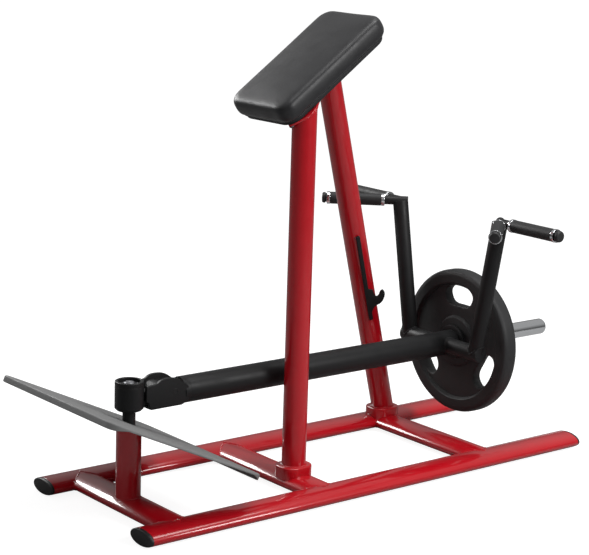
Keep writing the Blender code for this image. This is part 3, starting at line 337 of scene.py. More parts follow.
def slab(name, outline, thickness, origin, axes, look, edge=0.0012):
    """A flat plate: the outline from 0 to the thickness, drawn in by a quarter round at both faces."""
    a = np.linspace(0, math.pi / 2, 5)
    inset = np.concatenate([edge * (1 - np.sin(a)), edge * (1 - np.cos(a))])
    height = np.concatenate([edge * (1 - np.cos(a)), thickness - edge * (1 - np.sin(a))])
    flat = np.stack([drawn_in(outline, i) for i in inset])
    grid = origin + flat[..., :1] * axes[0] + flat[..., 1:] * axes[1] + height[:, None, None] * axes[2]
    return surface(name, grid, look)


slope_axes = np.array(((math.cos(PLATE_SLOPE), 0, -math.sin(PLATE_SLOPE)), (0, 1, 0),
                       (math.sin(PLATE_SLOPE), 0, math.cos(PLATE_SLOPE))))
plate_centre = spot(0, 0, FOOT_PLATE_Z)
mount = slab("mount_square", rounded_rectangle(MOUNT_SIZE, MOUNT_SIZE, MOUNT_CORNER), MOUNT_THICKNESS,
             plate_centre - slope_axes[2] * (FOOT_SHEET + MOUNT_THICKNESS), slope_axes, red_coat)
show(mount, "base", "red_coat", "foot_plate_mount")

# Foot plate. A pressed steel sheet with a lip folded down all round, deep across both ends.
# It is coated in a coarse anti-slip texture that stays matt and pale at a flat angle.

PLATE_UP, PLATE_DOWN, PLATE_ACROSS, PLATE_CORNER = 0.258, 0.278, 0.595, 0.050
END_LIP, SIDE_LIP, FOLD, SHEARED_EDGE, INNER_FOLD = 0.019, 0.007, 0.005, 0.001, 0.002

textured_grey = finish("textured_epoxy_coat", {"Specular IOR Level": 0.35}, ("#6C6C6C", "#7A7A7A"), 0.03,
                       (0.55, 0.70), 0.0016, 0.00022)


def pressed_sheet(name, look):
    """The sheet's outline, rounded over its fold and carried down to a lip whose depth eases from the ends'
    to the sides' over the corners; the same rows return inside at the sheet's thickness."""
    length, middle = PLATE_UP + PLATE_DOWN, (PLATE_DOWN - PLATE_UP) / 2
    outline = rounded_rectangle(length, PLATE_ACROSS, PLATE_CORNER, 14)
    ease = np.clip((length / 2 - np.abs(outline[:, 0])) / PLATE_CORNER, 0, 1)
    depth = END_LIP + (SIDE_LIP - END_LIP) * ease * ease * (3 - 2 * ease)
    a = np.linspace(0, math.pi / 2, 7)[1:]
    level = np.zeros(len(outline))
    steps = [(FOLD, level)] + [(FOLD * (1 - math.sin(q)), level - FOLD * (1 - math.cos(q))) for q in a]
    steps += [(0, SHEARED_EDGE - depth), (SHEARED_EDGE, -depth), (FOOT_SHEET - SHEARED_EDGE, -depth),
              (FOOT_SHEET, SHEARED_EDGE - depth), (FOOT_SHEET, level - FOOT_SHEET - INNER_FOLD),
              (FOOT_SHEET + INNER_FOLD, level - FOOT_SHEET)]
    rows = [np.column_stack([drawn_in(outline, inset), height]) for inset, height in steps]
    local = np.stack(rows) + (middle, 0, 0)
    return surface(name, plate_centre + local @ slope_axes, look)


foot_plate = pressed_sheet("pressed_foot_plate", textured_grey)
show(foot_plate, "base", "grey_coat", "foot_plate")

# Spindle. A turned and ground steel pin with a chamfered end that shows in the hub's recess, inside a
# retaining ring of blacked steel. Below the hub its shank is drawn in satin black; it runs through the
# foot plate into the post.

HUB_BASE, HUB_HEIGHT, HUB_DIAMETER = 0.290, 0.082, 0.080
SPINDLE_DIAMETER, JOURNAL_DIAMETER = 0.036, 0.030
JOURNAL_BASE, SPINDLE_BELOW_TOP, SPINDLE_CHAMFER, CENTRE_DRILL = 0.292, 0.003, 0.005, 0.006

ground_steel = finish("ground_steel", {"Metallic": 1.0}, ("#77787B", "#838487"), 0.01, (0.42, 0.54),
                      0.0008, 0.00002)
black_oxide = finish("black_oxide_steel", {"Metallic": 1.0}, ("#29292B", "#333335"), 0.01, (0.40, 0.52),
                     0.0008, 0.00002)


def turned(name, profile, start, direction, look, count=96, ring=False, sharp=40.0, up=(0, 1, 0)):
    """A turned piece: start + h a + d/2 (cos t u + sin t v) for each (diameter, height) of the profile."""
    across, upward, along = facing(direction, up)
    profile = np.asarray(profile, float)
    t = np.arange(count) * TURN / count
    round_about = np.cos(t)[:, None] * across + np.sin(t)[:, None] * upward
    grid = start + profile[:, None, 1:] * along + profile[:, None, :1] / 2 * round_about
    return surface(name, grid, look, ring=ring, sharp=sharp)


hub_top = HUB_BASE + HUB_HEIGHT
spindle_top = hub_top - SPINDLE_BELOW_TOP
profile = soften([(0, JOURNAL_BASE), (JOURNAL_DIAMETER, JOURNAL_BASE),
                  (JOURNAL_DIAMETER, spindle_top - 0.003), (JOURNAL_DIAMETER - SPINDLE_CHAMFER, spindle_top),
                  (CENTRE_DRILL, spindle_top), (0, spindle_top - 0.003)], 0.0008)
show(turned("ground_spindle", profile, spot(0, 0, 0), (0, 0, 1), ground_steel), "base", "steel", "spindle")
for node in ("spindle_guide", "spindle_circlip"):
    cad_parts[node].material_slots[0].material = black_oxide

# Swivel hub. A turned steel barrel in satin black that turns on the spindle in two sealed ball bearings;
# the upper one shows in the recess, and a lip seal closes the lower end.

satin_black = finish("satin_black_powder_coat", {"Specular IOR Level": 0.26}, ("#131314", "#1A1A1B"), 0.04,
                     (0.44, 0.56), 0.0013, 0.00006)
RECESS, RECESS_DEPTH, HUB_CHAMFER, GROOVE = 0.062, 0.010, 0.006, 0.0012
SHANK_BASE, SHANK_TOP = 0.13, 0.2997

profile = soften([(0, SHANK_BASE), (SPINDLE_DIAMETER, SHANK_BASE), (SPINDLE_DIAMETER, SHANK_TOP - 0.0002),
                  (JOURNAL_DIAMETER + 0.0002, SHANK_TOP), (0, SHANK_TOP)], 0.0008)
show(turned("black_spindle_shank", profile, spot(0, 0, 0), (0, 0, 1), satin_black), "base", "steel")

profile = soften([(RECESS, 0.002), (HUB_DIAMETER - 2 * HUB_CHAMFER, 0), (HUB_DIAMETER, HUB_CHAMFER),
                  (HUB_DIAMETER, HUB_HEIGHT - 0.014), (HUB_DIAMETER - GROOVE, HUB_HEIGHT - 0.0135),
                  (HUB_DIAMETER - GROOVE, HUB_HEIGHT - 0.012), (HUB_DIAMETER, HUB_HEIGHT - 0.0115),
                  (HUB_DIAMETER, HUB_HEIGHT - 0.0015), (HUB_DIAMETER - 0.004, HUB_HEIGHT),
                  (RECESS + 0.002, HUB_HEIGHT), (RECESS, HUB_HEIGHT - 0.0015),
                  (RECESS, HUB_HEIGHT - RECESS_DEPTH)], 0.0012)
show(turned("turned_hub", profile, spot(0, 0, HUB_BASE), (0, 0, 1), satin_black, ring=True),
     "swivel", "black_coat", "swivel_hub")

BEARING_WIDTH, BEARING_RACE, LOWER_BEARING_TOP = 0.016, 0.010, 0.026
bearing_look = finish("bearing_ring_steel", {"Metallic": 1.0}, ("#5A5B5E", "#66676A"), 0.01, (0.32, 0.42),
                      0.0008, 0.00002)
moulded_rubber = finish("moulded_nitrile_rubber", {"Specular IOR Level": 0.3}, ("#111112", "#181819"), 0.01,
                        (0.6, 0.75), 0.0008, 0.00004)
for node, top in (("hub_bearing_upper", hub_top - RECESS_DEPTH),
                  ("hub_bearing_lower", HUB_BASE + LOWER_BEARING_TOP)):
    inner, outer = JOURNAL_DIAMETER + 0.0004, RECESS - 0.0004
    low, high = inner + BEARING_RACE, outer - BEARING_RACE
    profile = soften([(inner, 0), (outer, 0), (outer, BEARING_WIDTH), (high + 0.001, BEARING_WIDTH),
                      (high, BEARING_WIDTH - 0.0012), (low, BEARING_WIDTH - 0.0012),
                      (low - 0.001, BEARING_WIDTH), (inner, BEARING_WIDTH)], 0.0006)
    ring = turned("sealed_" + node, profile, spot(0, 0, top - BEARING_WIDTH), (0, 0, 1), bearing_look,
                  ring=True)
    show(ring, "swivel", "steel", node)
    shield = [(low + 0.0002, 0), (high - 0.0002, 0), (high - 0.0002, 0.0006), (low + 0.0002, 0.0006)]
    shield = turned("shield_" + node, soften(shield, 0.0002), spot(0, 0, top - 0.0013), (0, 0, 1),
                    moulded_rubber, ring=True)
    show(shield, "swivel", "seal_rubber")
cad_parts["hub_seal"].material_slots[0].material = moulded_rubber

# Tongue. A thick steel plate with a round nose about the pin, flame cut, ground and welded to the hub;
# its flat foot is the stop that the fork's lower lip bears against.

PIN_X, PIN_Z, TONGUE_WIDTH = 0.130, 0.329, 0.050
ARM_Z = 0.321
LIP_TOP = -0.033
CREST_X, CREST_RADIUS, NOSE_RADIUS = 0.085, 0.030, 0.029


def arc(centre, radius, start, stop, count=16):
    """Points on a circle between two angles in degrees."""
    a = np.radians(np.linspace(start, stop, count))
    return np.stack([centre[0] + radius * np.cos(a), centre[1] + radius * np.sin(a)], axis=1)


side_axes = np.array(((1, 0, 0), (0, 0, 1), (0, -1, 0)), float)
crest_x = CREST_X - PIN_X
tongue = np.concatenate([arc((crest_x, 0), CREST_RADIUS, 170, 60, 20), arc((0, 0), NOSE_RADIUS, 85, -90, 28),
                         [(-0.018, LIP_TOP + 0.0003), (crest_x - 0.025, LIP_TOP + 0.0003),
                          (crest_x - CREST_RADIUS, -0.026), (-0.110, -0.026), (-0.110, 0.012),
                          (crest_x - CREST_RADIUS, 0.012)]])[::-1]
piece = slab("round_tongue", tongue, TONGUE_WIDTH, spot(PIN_X, TONGUE_WIDTH / 2, PIN_Z), side_axes,
             satin_black, 0.0016)
show(piece, "swivel", "black_coat", "swivel_tongue")
bronze = finish("sintered_bronze", {"Metallic": 1.0}, ("#9C7A45", "#AD8A54"), 0.004, (0.35, 0.5),
                0.0005, 0.00003)
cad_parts["tongue_bush"].material_slots[0].material = bronze

# Fork. Two steel cheeks with round ears clasp the tongue; a lip joins them underneath and a turned block
# behind them plugs into the arm. The joints are ground flush and painted over in satin black.

CHEEK_INNER, CHEEK_OUTER = 0.0268, 0.0358
ARM_DIAMETER = 0.076
FORK_THROAT, FORK_REAR = 0.032, 0.052
LIP_FRONT, LIP_BOTTOM, OVERLAP = -0.083, -0.040, 0.002

ear = [(0.044, 0.010), (0.036, 0.017), (0.024, 0.026), (0.010, 0.036), (-0.006, 0.041), (-0.024, 0.0425),
       (-0.040, 0.042), (-0.052, 0.038), (-0.060, 0.031)]
front = np.concatenate([arc((-0.089, 0.020), 0.008, 90, 180, 8), arc((-0.089, -0.011), 0.008, 180, 270, 8)])
below = [(LIP_FRONT - 0.006, -0.019), (LIP_FRONT, LIP_BOTTOM), (0.022, LIP_BOTTOM), (0.044, -0.024)]
outline = np.concatenate([front, below, ear])
softness = np.repeat((0.001, 0.003, 0.02), (len(front), len(below), len(ear)))
outline = soften(outline, softness, 5, closed=True)
for name, y in (("near", -CHEEK_INNER), ("far", CHEEK_OUTER)):
    cheek = slab("fork_cheek_" + name, outline, CHEEK_OUTER - CHEEK_INNER, spot(PIN_X, y, PIN_Z), side_axes,
                 satin_black, 0.0014)
    show(cheek, "lever", "black_coat", *(["lever_fork"] if name == "near" else []))
block_front = FORK_THROAT + OVERLAP
for name, corners in (("lip", [(LIP_FRONT, LIP_BOTTOM), (block_front, LIP_BOTTOM), (block_front, LIP_TOP),
                               (LIP_FRONT, LIP_TOP)]),
                      ("bridge", [(FORK_THROAT, -0.034), (0.043, -0.023), (0.043, 0.010),
                                  (FORK_THROAT, 0.020)])):
    filling = slab("fork_" + name, soften(corners, 0.0015, closed=True), 2 * (CHEEK_INNER + OVERLAP),
                   spot(PIN_X, CHEEK_INNER + OVERLAP, PIN_Z), side_axes, satin_black)
    show(filling, "lever", "black_coat")
profile = soften([(0, block_front), (ARM_DIAMETER, block_front), (ARM_DIAMETER, FORK_REAR - 0.0002),
                  (ARM_DIAMETER - 0.0006, FORK_REAR), (0, FORK_REAR)], 0.0012)
show(turned("fork_block", profile, spot(PIN_X, 0, ARM_Z), (1, 0, 0), satin_black), "lever", "black_coat")

# Lever pin. A hardened pin pressed through both cheeks, painted over with the fork;
# only its dimpled end shows as a small dark spot.

PIN_DIAMETER, PIN_FACE, DIMPLE, DIMPLE_FLOOR = 0.022, 0.0361, 0.009, 0.0180
profile = soften([(0, -0.036), (PIN_DIAMETER - 0.002, -0.036), (PIN_DIAMETER, -0.035), (PIN_DIAMETER, 0.0356),
                  (PIN_DIAMETER - 0.002, PIN_FACE), (DIMPLE + 0.001, PIN_FACE), (DIMPLE, 0.0355),
                  (DIMPLE * 0.9, DIMPLE_FLOOR), (0, DIMPLE_FLOOR)], 0.0005)
show(turned("dimpled_pin", profile, spot(PIN_X, 0, PIN_Z), (0, -1, 0), satin_black, up=(0, 0, 1)),
     "lever", "black_coat", "lever_pin")

# Arm. One length of round steel tube from the fork to the plate stop, in the same satin black,
# ground flush with the fork and welded where the crossbar runs through it.

ARM_START, ARM_END = PIN_X + FORK_REAR, 1.198
HANDLE_X, BAR_DIAMETER = 1.161, 0.048

arm = tube("round_arm", oval(ARM_DIAMETER, ARM_DIAMETER, 128), spot(ARM_START, 0, ARM_Z),
           spot(ARM_END, 0, ARM_Z), satin_black, edge=0.0003)
show(arm, "lever", "black_coat", "lever_arm")
for name, side in (("near", -1), ("far", 1)):
    t = np.arange(120) * TURN / 120
    z = BAR_DIAMETER / 2 * np.sin(t)
    path = np.stack([SWIVEL_X + HANDLE_X + BAR_DIAMETER / 2 * np.cos(t),
                     side * np.sqrt((ARM_DIAMETER / 2) ** 2 - z ** 2), ARM_Z + z], axis=1)
    show(weld("weld_crossbar_" + name, path, TUBE_BEAD, satin_black), "lever", "black_coat")

# Plate stop. A turned steel flange welded on the arm's end that the weight plate rests against.

FLANGE_DIAMETER, FLANGE_BORE, FLANGE_THICKNESS = 0.104, 0.0504, 0.012
profile = soften([(FLANGE_BORE, 0), (FLANGE_DIAMETER, 0), (FLANGE_DIAMETER, FLANGE_THICKNESS),
                  (FLANGE_BORE, FLANGE_THICKNESS)], 0.0022, closed=True)
show(turned("turned_plate_stop", profile, spot(ARM_END, 0, ARM_Z), (1, 0, 0), satin_black, ring=True),
     "lever", "black_coat", "plate_stop")

# Weight sleeve. A 50 mm steel tube with a rounded nose, hard chromed and polished;
# the chrome is a little cloudy in patches.

SLEEVE_DIAMETER, SLEEVE_START, SLEEVE_END, SLEEVE_NOSE = 0.050, 1.190, 1.600, 0.006
chrome = finish("hard_chrome", {"Metallic": 1.0}, ("#D6D8DA", "#DEDFE1"), 0.02, (0.05, 0.10), 0.004, 0.000006)
profile = soften([(0, SLEEVE_START), (SLEEVE_DIAMETER, SLEEVE_START),
                  (SLEEVE_DIAMETER, SLEEVE_END - SLEEVE_NOSE),
                  (SLEEVE_DIAMETER - SLEEVE_NOSE, SLEEVE_END - 0.001),
                  (SLEEVE_DIAMETER - 0.014, SLEEVE_END), (0, SLEEVE_END)], 0.004)
show(turned("chromed_sleeve", profile, spot(0, 0, ARM_Z), (1, 0, 0), chrome),
     "lever", "chrome", "weight_sleeve")

# Handle frame. A crossbar through the arm and two leaning uprights, round tube coped and welded,
# each upright topped by two welded handle bars: one straight out to the side, one angled forwards.

SPREAD_LOW, SPREAD_HIGH, HANDLE_Z = 0.148, 0.2216, 0.737
HANDLE_BAR, HANDLE_REACH, HANDLE_BACK = 0.028, 0.237, 0.024
CROSSBAR_REACH, HANDLE_BEAD = 0.172, 0.0020
HANDLE_ANGLE = math.radians(42.0)

crossbar = tube("round_crossbar", oval(BAR_DIAMETER, BAR_DIAMETER), spot(HANDLE_X, -CROSSBAR_REACH, ARM_Z),
                spot(HANDLE_X, CROSSBAR_REACH, ARM_Z), satin_black, edge=0.0015)
show(crossbar, "lever", "black_coat", "handle_crossbar")
handles = []
for name, side in (("near", -1), ("far", 1)):
    foot, head = spot(HANDLE_X, side * SPREAD_LOW, ARM_Z), spot(HANDLE_X, side * SPREAD_HIGH, HANDLE_Z)
    rise = unit(head - foot)
    upright = tube("leaning_upright_" + name, oval(BAR_DIAMETER, BAR_DIAMETER), foot, head, satin_black,
                   up=(1, 0, 0))
    show(upright, "lever", "black_coat", "handle_upright_" + name)
    across, upward, along = facing(rise, (1, 0, 0))
    t = np.arange(120)[:, None] * TURN / 120
    shell = BAR_DIAMETER / 2 * (np.cos(t) * across + np.sin(t) * upward)
    drop = np.sqrt((BAR_DIAMETER / 2) ** 2 - np.clip(shell[:, 0] ** 2, 0, (BAR_DIAMETER / 2) ** 2 - 1e-9))
    seam = foot + shell + rise * (drop[:, None] / rise[2] - shell[:, 2:] / rise[2])
    show(weld("weld_upright_" + name, seam, HANDLE_BEAD, satin_black), "lever", "black_coat")
    wide = np.array((0, side, 0.0))
    angled = np.array((-math.cos(HANDLE_ANGLE), side * math.sin(HANDLE_ANGLE), 0))
    for style, direction, back in (("wide", wide, 0.0), ("angled", angled, HANDLE_BACK)):
        bar = tube("handle_tube_%s_%s" % (style, name), oval(HANDLE_BAR, HANDLE_BAR), head - direction * back,
                   head + direction * HANDLE_REACH, satin_black, edge=0.001)
        show(bar, "lever", "black_coat", "handle_bar_%s_%s" % (style, name))
        handles.append((style, name, head, direction))

# Grips. Each is a chromed spool with a collar at both ends and a sleeve of moulded rubber between them;
# a domed plastic cap closes the bar. The rubber is matt with a fine grain.

GRIP_START, GRIP_LENGTH, GRIP_DIAMETER, GRIP_BORE, GRIP_GAP = 0.060, 0.162, 0.038, 0.031, 0.0004
COLLAR_LENGTH, COLLAR_DIAMETER, SPOOL_CORE = 0.010, 0.040, 0.032
END_CAP, END_CAP_HEIGHT = 0.034, 0.011

grip_rubber = finish("moulded_grip_rubber", {"Specular IOR Level": 0.35}, ("#1E1E1F", "#282829"), 0.015,
                     (0.50, 0.62), 0.0011, 0.00009)
for style, name, head, direction in handles:
    tag = "%s_%s" % (style, name)
    low, high = GRIP_START, GRIP_START + GRIP_LENGTH
    half_spool = [(HANDLE_BAR, COLLAR_LENGTH), (COLLAR_DIAMETER, COLLAR_LENGTH), (COLLAR_DIAMETER, 0),
                  (SPOOL_CORE, 0)]
    profile = [(d, low - h) for d, h in half_spool] + [(d, high + h) for d, h in reversed(half_spool)]
    spool = turned("chromed_spool_" + tag, soften(profile, 0.0014), head, direction, chrome, ring=True,
                   up=(0, 0, 1))
    show(spool, "lever", "chrome", "grip_spool_" + tag)
    half_grip = [(GRIP_BORE, GRIP_GAP), (GRIP_DIAMETER - 0.001, GRIP_GAP), (GRIP_DIAMETER, 0.004)]
    profile = [(d, low + h) for d, h in half_grip] + [(d, high - h) for d, h in reversed(half_grip)]
    grip = turned("rubber_grip_" + tag, soften(profile, 0.0018), head, direction, grip_rubber, ring=True,
                  up=(0, 0, 1))
    show(grip, "lever", "grip_rubber", "grip_" + tag)
    cap = domed(oval(END_CAP, END_CAP), head + direction * HANDLE_REACH, direction, END_CAP_HEIGHT,
                moulded_black, "domed_end_cap_" + tag, share=0.30)
    show(cap, "lever", "black_plastic", "handle_cap_" + tag)

# Weight plate. Iron cast with three grip holes and covered in moulded rubber: a round rim,
# a sunk web and a raised boss. The rubber is matt black and a little uneven.

PLATE_DIAMETER, PLATE_HALF, WEB_HALF = 0.450, 0.028, 0.017
STOP_GAP = 0.0003
PLATE_CENTRE_X = ARM_END + FLANGE_THICKNESS + STOP_GAP + PLATE_HALF
RIM_INNER, BOSS_OUTER, BOSS_TOP, BORE = 0.178, 0.081, 0.150, 0.0455
HOLE_INNER, HOLE_OUTER, HOLE_SWEEP, HOLE_LIP = 0.113, 0.177, math.radians(23.0), 0.005
HOLE_POWER = 0.75

plate_rubber = finish("moulded_plate_rubber", {"Specular IOR Level": 0.35}, ("#202021", "#2A2A2B"), 0.05,
                      (0.50, 0.66), 0.0018, 0.00010)


def bean(spread, count=160):
    """A rounded oval bent round the plate's centre, grown by the spread: the radius follows sin^p and the
    angle cos^p, each with its own sign."""
    a = np.arange(count) * TURN / count
    middle, half = (HOLE_INNER + HOLE_OUTER) / 2, (HOLE_OUTER - HOLE_INNER) / 2 + spread
    radius = middle + half * np.sign(np.sin(a)) * np.abs(np.sin(a)) ** HOLE_POWER
    sweep = (HOLE_SWEEP + spread / middle) * np.sign(np.cos(a)) * np.abs(np.cos(a)) ** HOLE_POWER
    return radius, sweep


def web_sector(name, turn, look):
    """A third of the web, wrapped round its grip hole: rows run from the sector's edge on one face, in a
    quarter round over the hole's lip, through the hole and back to the edge on the other face."""
    radius, sweep = bean(0.0)
    a = np.arange(len(radius)) * TURN / len(radius)
    reach = np.minimum(1 / np.maximum(np.abs(np.cos(a)), 1e-9), 1 / np.maximum(np.abs(np.sin(a)), 1e-9))
    edge_sweep = math.pi / 3 * np.clip(reach * np.cos(a), -1, 1)
    middle, half = (RIM_INNER + BOSS_OUTER) / 2, (RIM_INNER - BOSS_OUTER) / 2
    edge_radius = middle + half * np.clip(reach * np.sin(a), -1, 1)
    lip_radius, lip_sweep = bean(HOLE_LIP)
    rows = [(edge_radius * (1 - s) + lip_radius * s, edge_sweep * (1 - s) + lip_sweep * s, WEB_HALF)
            for s in (0.0, 0.35, 0.7, 1.0)]
    rows += [(*bean(HOLE_LIP * (1 - math.sin(v))), WEB_HALF - HOLE_LIP * (1 - math.cos(v)))
             for v in np.linspace(0, math.pi / 2, 7)[1:]]
    rows += [(r, w, -x) for r, w, x in reversed(rows)]
    grid = np.stack([np.stack([np.full(len(r), SWIVEL_X + PLATE_CENTRE_X + x), r * np.sin(w + turn),
                               ARM_Z + r * np.cos(w + turn)], axis=1) for r, w, x in rows])
    return surface(name, grid, look, ring=True, sharp=60.0)


plate_axis = spot(PLATE_CENTRE_X, 0, ARM_Z)
half_rim = [(2 * RIM_INNER - 0.006, WEB_HALF - 0.004), (2 * RIM_INNER, WEB_HALF),
            (2 * RIM_INNER + 0.012, PLATE_HALF), (PLATE_DIAMETER - 0.030, PLATE_HALF),
            (PLATE_DIAMETER - 0.009, PLATE_HALF - 0.0035), (PLATE_DIAMETER, PLATE_HALF - 0.013)]
rim = half_rim + [(d, -x) for d, x in reversed(half_rim)]
rim = turned("plate_rim", soften(rim, 0.006, 9), plate_axis, (1, 0, 0), plate_rubber, 192, ring=True)
show(rim, "plate", "plate_rubber", "weight_plate")
boss_face = PLATE_HALF - 0.002
half_boss = [(2 * BORE, boss_face), (BOSS_TOP, boss_face), (2 * BOSS_OUTER, WEB_HALF),
             (2 * BOSS_OUTER + 0.004, WEB_HALF - 0.004)]
boss = half_boss + [(d, -x) for d, x in reversed(half_boss)]
boss = turned("plate_boss", soften(boss, 0.003, 7), plate_axis, (1, 0, 0), plate_rubber, 128, ring=True)
show(boss, "plate", "plate_rubber")
for k in range(3):
    sector = web_sector("plate_web_%d" % k, k * TURN / 3, plate_rubber)
    show(sector, "plate", "plate_rubber")

# Plate insert. A turned steel ring pressed into the boss, its bore a running fit on the sleeve.

INSERT_BORE, INSERT_OUTER, INSERT_BREAK = 0.0510, 0.0895, 0.001
profile = [(INSERT_BORE + 0.0005, -PLATE_HALF), (INSERT_OUTER, -PLATE_HALF), (INSERT_OUTER, PLATE_HALF),
           (INSERT_BORE + 0.0005, PLATE_HALF), (INSERT_BORE, PLATE_HALF - INSERT_BREAK),
           (INSERT_BORE, INSERT_BREAK - PLATE_HALF)]
insert = turned("turned_insert", soften(profile, 0.0008, closed=True), plate_axis, (1, 0, 0), ground_steel,
                ring=True)
show(insert, "plate", "steel", "plate_insert")

# Uprights. Round steel tubes in the same red: the front one plumb beside the lever,
# the rear one leaning in from the far rail. Each stands in a thick rounded collar.

UPRIGHT = 0.070
COLLAR_LONG, COLLAR_WIDE, COLLAR_TOP, COLLAR_HEIGHT, COLLAR_CORNER = 0.100, 0.086, 0.071, 0.040, 0.034
PAD_X, PAD_Z, PAD_TILT = 0.593, 1.202, math.radians(35.7)
PAD_THICKNESS, BOARD_THICKNESS, BRACKET_THICKNESS = 0.063, 0.012, 0.006
BRACKET_HALF, BRACKET_POWER = (0.064, 0.037), 0.4286
SEAT_GAP, BRACKET_BEAD, COLLAR_SINK = 0.0003, 0.0020, 0.004

pad_axes = np.array(((math.cos(PAD_TILT), 0, math.sin(PAD_TILT)), (0, 1, 0),
                     (-math.sin(PAD_TILT), 0, math.cos(PAD_TILT))))
pad_centre = spot(PAD_X, 0, PAD_Z)
pad_total = PAD_THICKNESS + BOARD_THICKNESS


def under_board(x, extra):
    """Height of the plane under the board at a distance x along the machine."""
    return PAD_Z + (x - PAD_X) * math.tan(PAD_TILT) - (pad_total / 2 + extra) / math.cos(PAD_TILT)


def cut_tube(name, diameter, foot, head, look, count=96):
    """A tube between the collar's level top and the bracket's sloping face: each of its lines along the axis
    runs from just under the foot's height to the plane through the head that faces as the pad does. With it
    come the two closed lines where it meets the collar and the bracket."""
    across, upward, along = facing(head - foot, (0, 1, 0))
    t = np.arange(count)[:, None] * TURN / count
    shell = foot + diameter / 2 * (np.cos(t) * across + np.sin(t) * upward)
    low = shell - (shell - foot)[:, 2:] / along[2] * along
    high = shell + ((head - shell) @ pad_axes[2])[:, None] / (along @ pad_axes[2]) * along
    return surface(name, np.stack([low - COLLAR_SINK * along, high]), look), low, high


FOOT_SPOTS = {"front": (CROSS_X["middle"], -0.093), "rear": (CROSS_X["rear"], 0.228)}
HEAD_SPOTS = {"front": FOOT_SPOTS["front"], "rear": (0.716, 0.086)}
a = np.linspace(0, TURN, 96, endpoint=False)
diamond = np.column_stack([f(a) * np.abs(f(a)) ** BRACKET_POWER for f in (np.cos, np.sin)]) * BRACKET_HALF
collar_outline = rounded_rectangle(COLLAR_LONG, COLLAR_WIDE, COLLAR_CORNER, 14)
for where, (head_x, head_y) in HEAD_SPOTS.items():
    foot = spot(*FOOT_SPOTS[where], COLLAR_TOP)
    head = spot(head_x, head_y, under_board(head_x, BRACKET_THICKNESS + 2 * SEAT_GAP))
    upright, low_seam, high_seam = cut_tube("round_upright_" + where, UPRIGHT, foot, head, red_coat)
    show(upright, "base", "red_coat", "upright_" + where)
    show(weld("weld_collar_" + where, low_seam, TUBE_BEAD, red_coat), "base", "red_coat")
    show(weld("weld_bracket_" + where, high_seam, BRACKET_BEAD, red_coat), "base", "red_coat")
    collar = slab("cast_collar_" + where, collar_outline, COLLAR_HEIGHT, foot - (0, 0, COLLAR_HEIGHT),
                  np.eye(3), red_coat, 0.004)
    show(collar, "base", "red_coat", "upright_%s_flange" % where)
    bracket = slab("flat_bracket_" + where, diamond, BRACKET_THICKNESS, head + pad_axes[2] * SEAT_GAP,
                   pad_axes, red_coat)
    show(bracket, "base", "red_coat", "upright_%s_bracket" % where)
    for place in ("low", "high"):
        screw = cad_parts["upright_%s_bracket_screw_%s" % (where, place)]
        screw.material_slots[0].material = ground_steel

# Catch. A laser-cut steel strap with a hook on its edge, welded to the rear upright's side;
# it is coated satin black apart from the frame.

CATCH_HALF, CATCH_LENGTH, CATCH_THICKNESS, CATCH_TOP = 0.006, 0.296, 0.008, 0.6725
CATCH_TURN, HOOK_DROP = math.radians(25.0), 0.2215
HOOK_EDGE = ((0.0, -0.0485), (0.005, -0.0385), (0.0105, -0.032), (0.018, -0.028), (0.025, -0.0275),
             (0.0315, -0.0255), (0.0395, -0.019), (0.046, -0.009), (0.0495, 0.0015), (0.0495, 0.0105),
             (0.0475, 0.0165), (0.0425, 0.0175), (0.037, 0.0145), (0.034, 0.009), (0.0315, 0.0035),
             (0.026, 0.0), (0.0205, 0.002), (0.0175, 0.0075), (0.0155, 0.0155), (0.0145, 0.0265),
             (0.0, 0.0335))
rise = unit(head - foot)        # of the rear upright, which came last
outward = np.array((-math.sin(CATCH_TURN), -math.cos(CATCH_TURN), 0))
outward = unit(outward - rise * (outward @ rise))
hook = [(CATCH_HALF, 0), (-CATCH_HALF, 0), (-CATCH_HALF, -CATCH_LENGTH), (CATCH_HALF, -CATCH_LENGTH)]
hook = soften(hook + [(CATCH_HALF + out, up - HOOK_DROP) for out, up in HOOK_EDGE], 0.0020, 4, closed=True)
seat = foot + rise * (CATCH_TOP - COLLAR_TOP) / rise[2] + outward * (UPRIGHT / 2 + SEAT_GAP)
catch_axes = np.array((np.cross(rise, outward), rise, outward))
catch = slab("cut_catch", hook, CATCH_THICKNESS, seat, catch_axes, satin_black, 0.0008)
show(catch, "base", "black_coat", "lever_catch")

# Pad board. Plywood covered with the turned-under vinyl, screwed to the two brackets.

PAD_LENGTH, PAD_WIDTH, PAD_CORNER, BOARD_INSET, BOARD_CORNER = 0.436, 0.260, 0.040, 0.012, 0.045
board_look = finish("stretched_black_backing", {"Specular IOR Level": 0.3}, ("#18181A", "#212123"), 0.03,
                    (0.55, 0.70), 0.0010, 0.00012)
outline = rounded_rectangle(PAD_LENGTH - 2 * BOARD_INSET, PAD_WIDTH - 2 * BOARD_INSET, BOARD_CORNER, 14)
board = slab("covered_board", outline, BOARD_THICKNESS, pad_centre - pad_axes[2] * pad_total / 2, pad_axes,
             board_look, 0.003)
show(board, "base", "board", "pad_board")

# Cushion. Dense foam under a black vinyl cover, crowned in the middle with soft edges;
# the cover is sewn round its lower edge with a thin welt and stapled under the board.

vinyl = finish("grained_vinyl", {"Specular IOR Level": 0.34, "Sheen Weight": 0.08, "Sheen Roughness": 0.5},
               ("#1C1C1E", "#222224"), 0.05, (0.38, 0.50), 0.0011, 0.00010, 4.0)
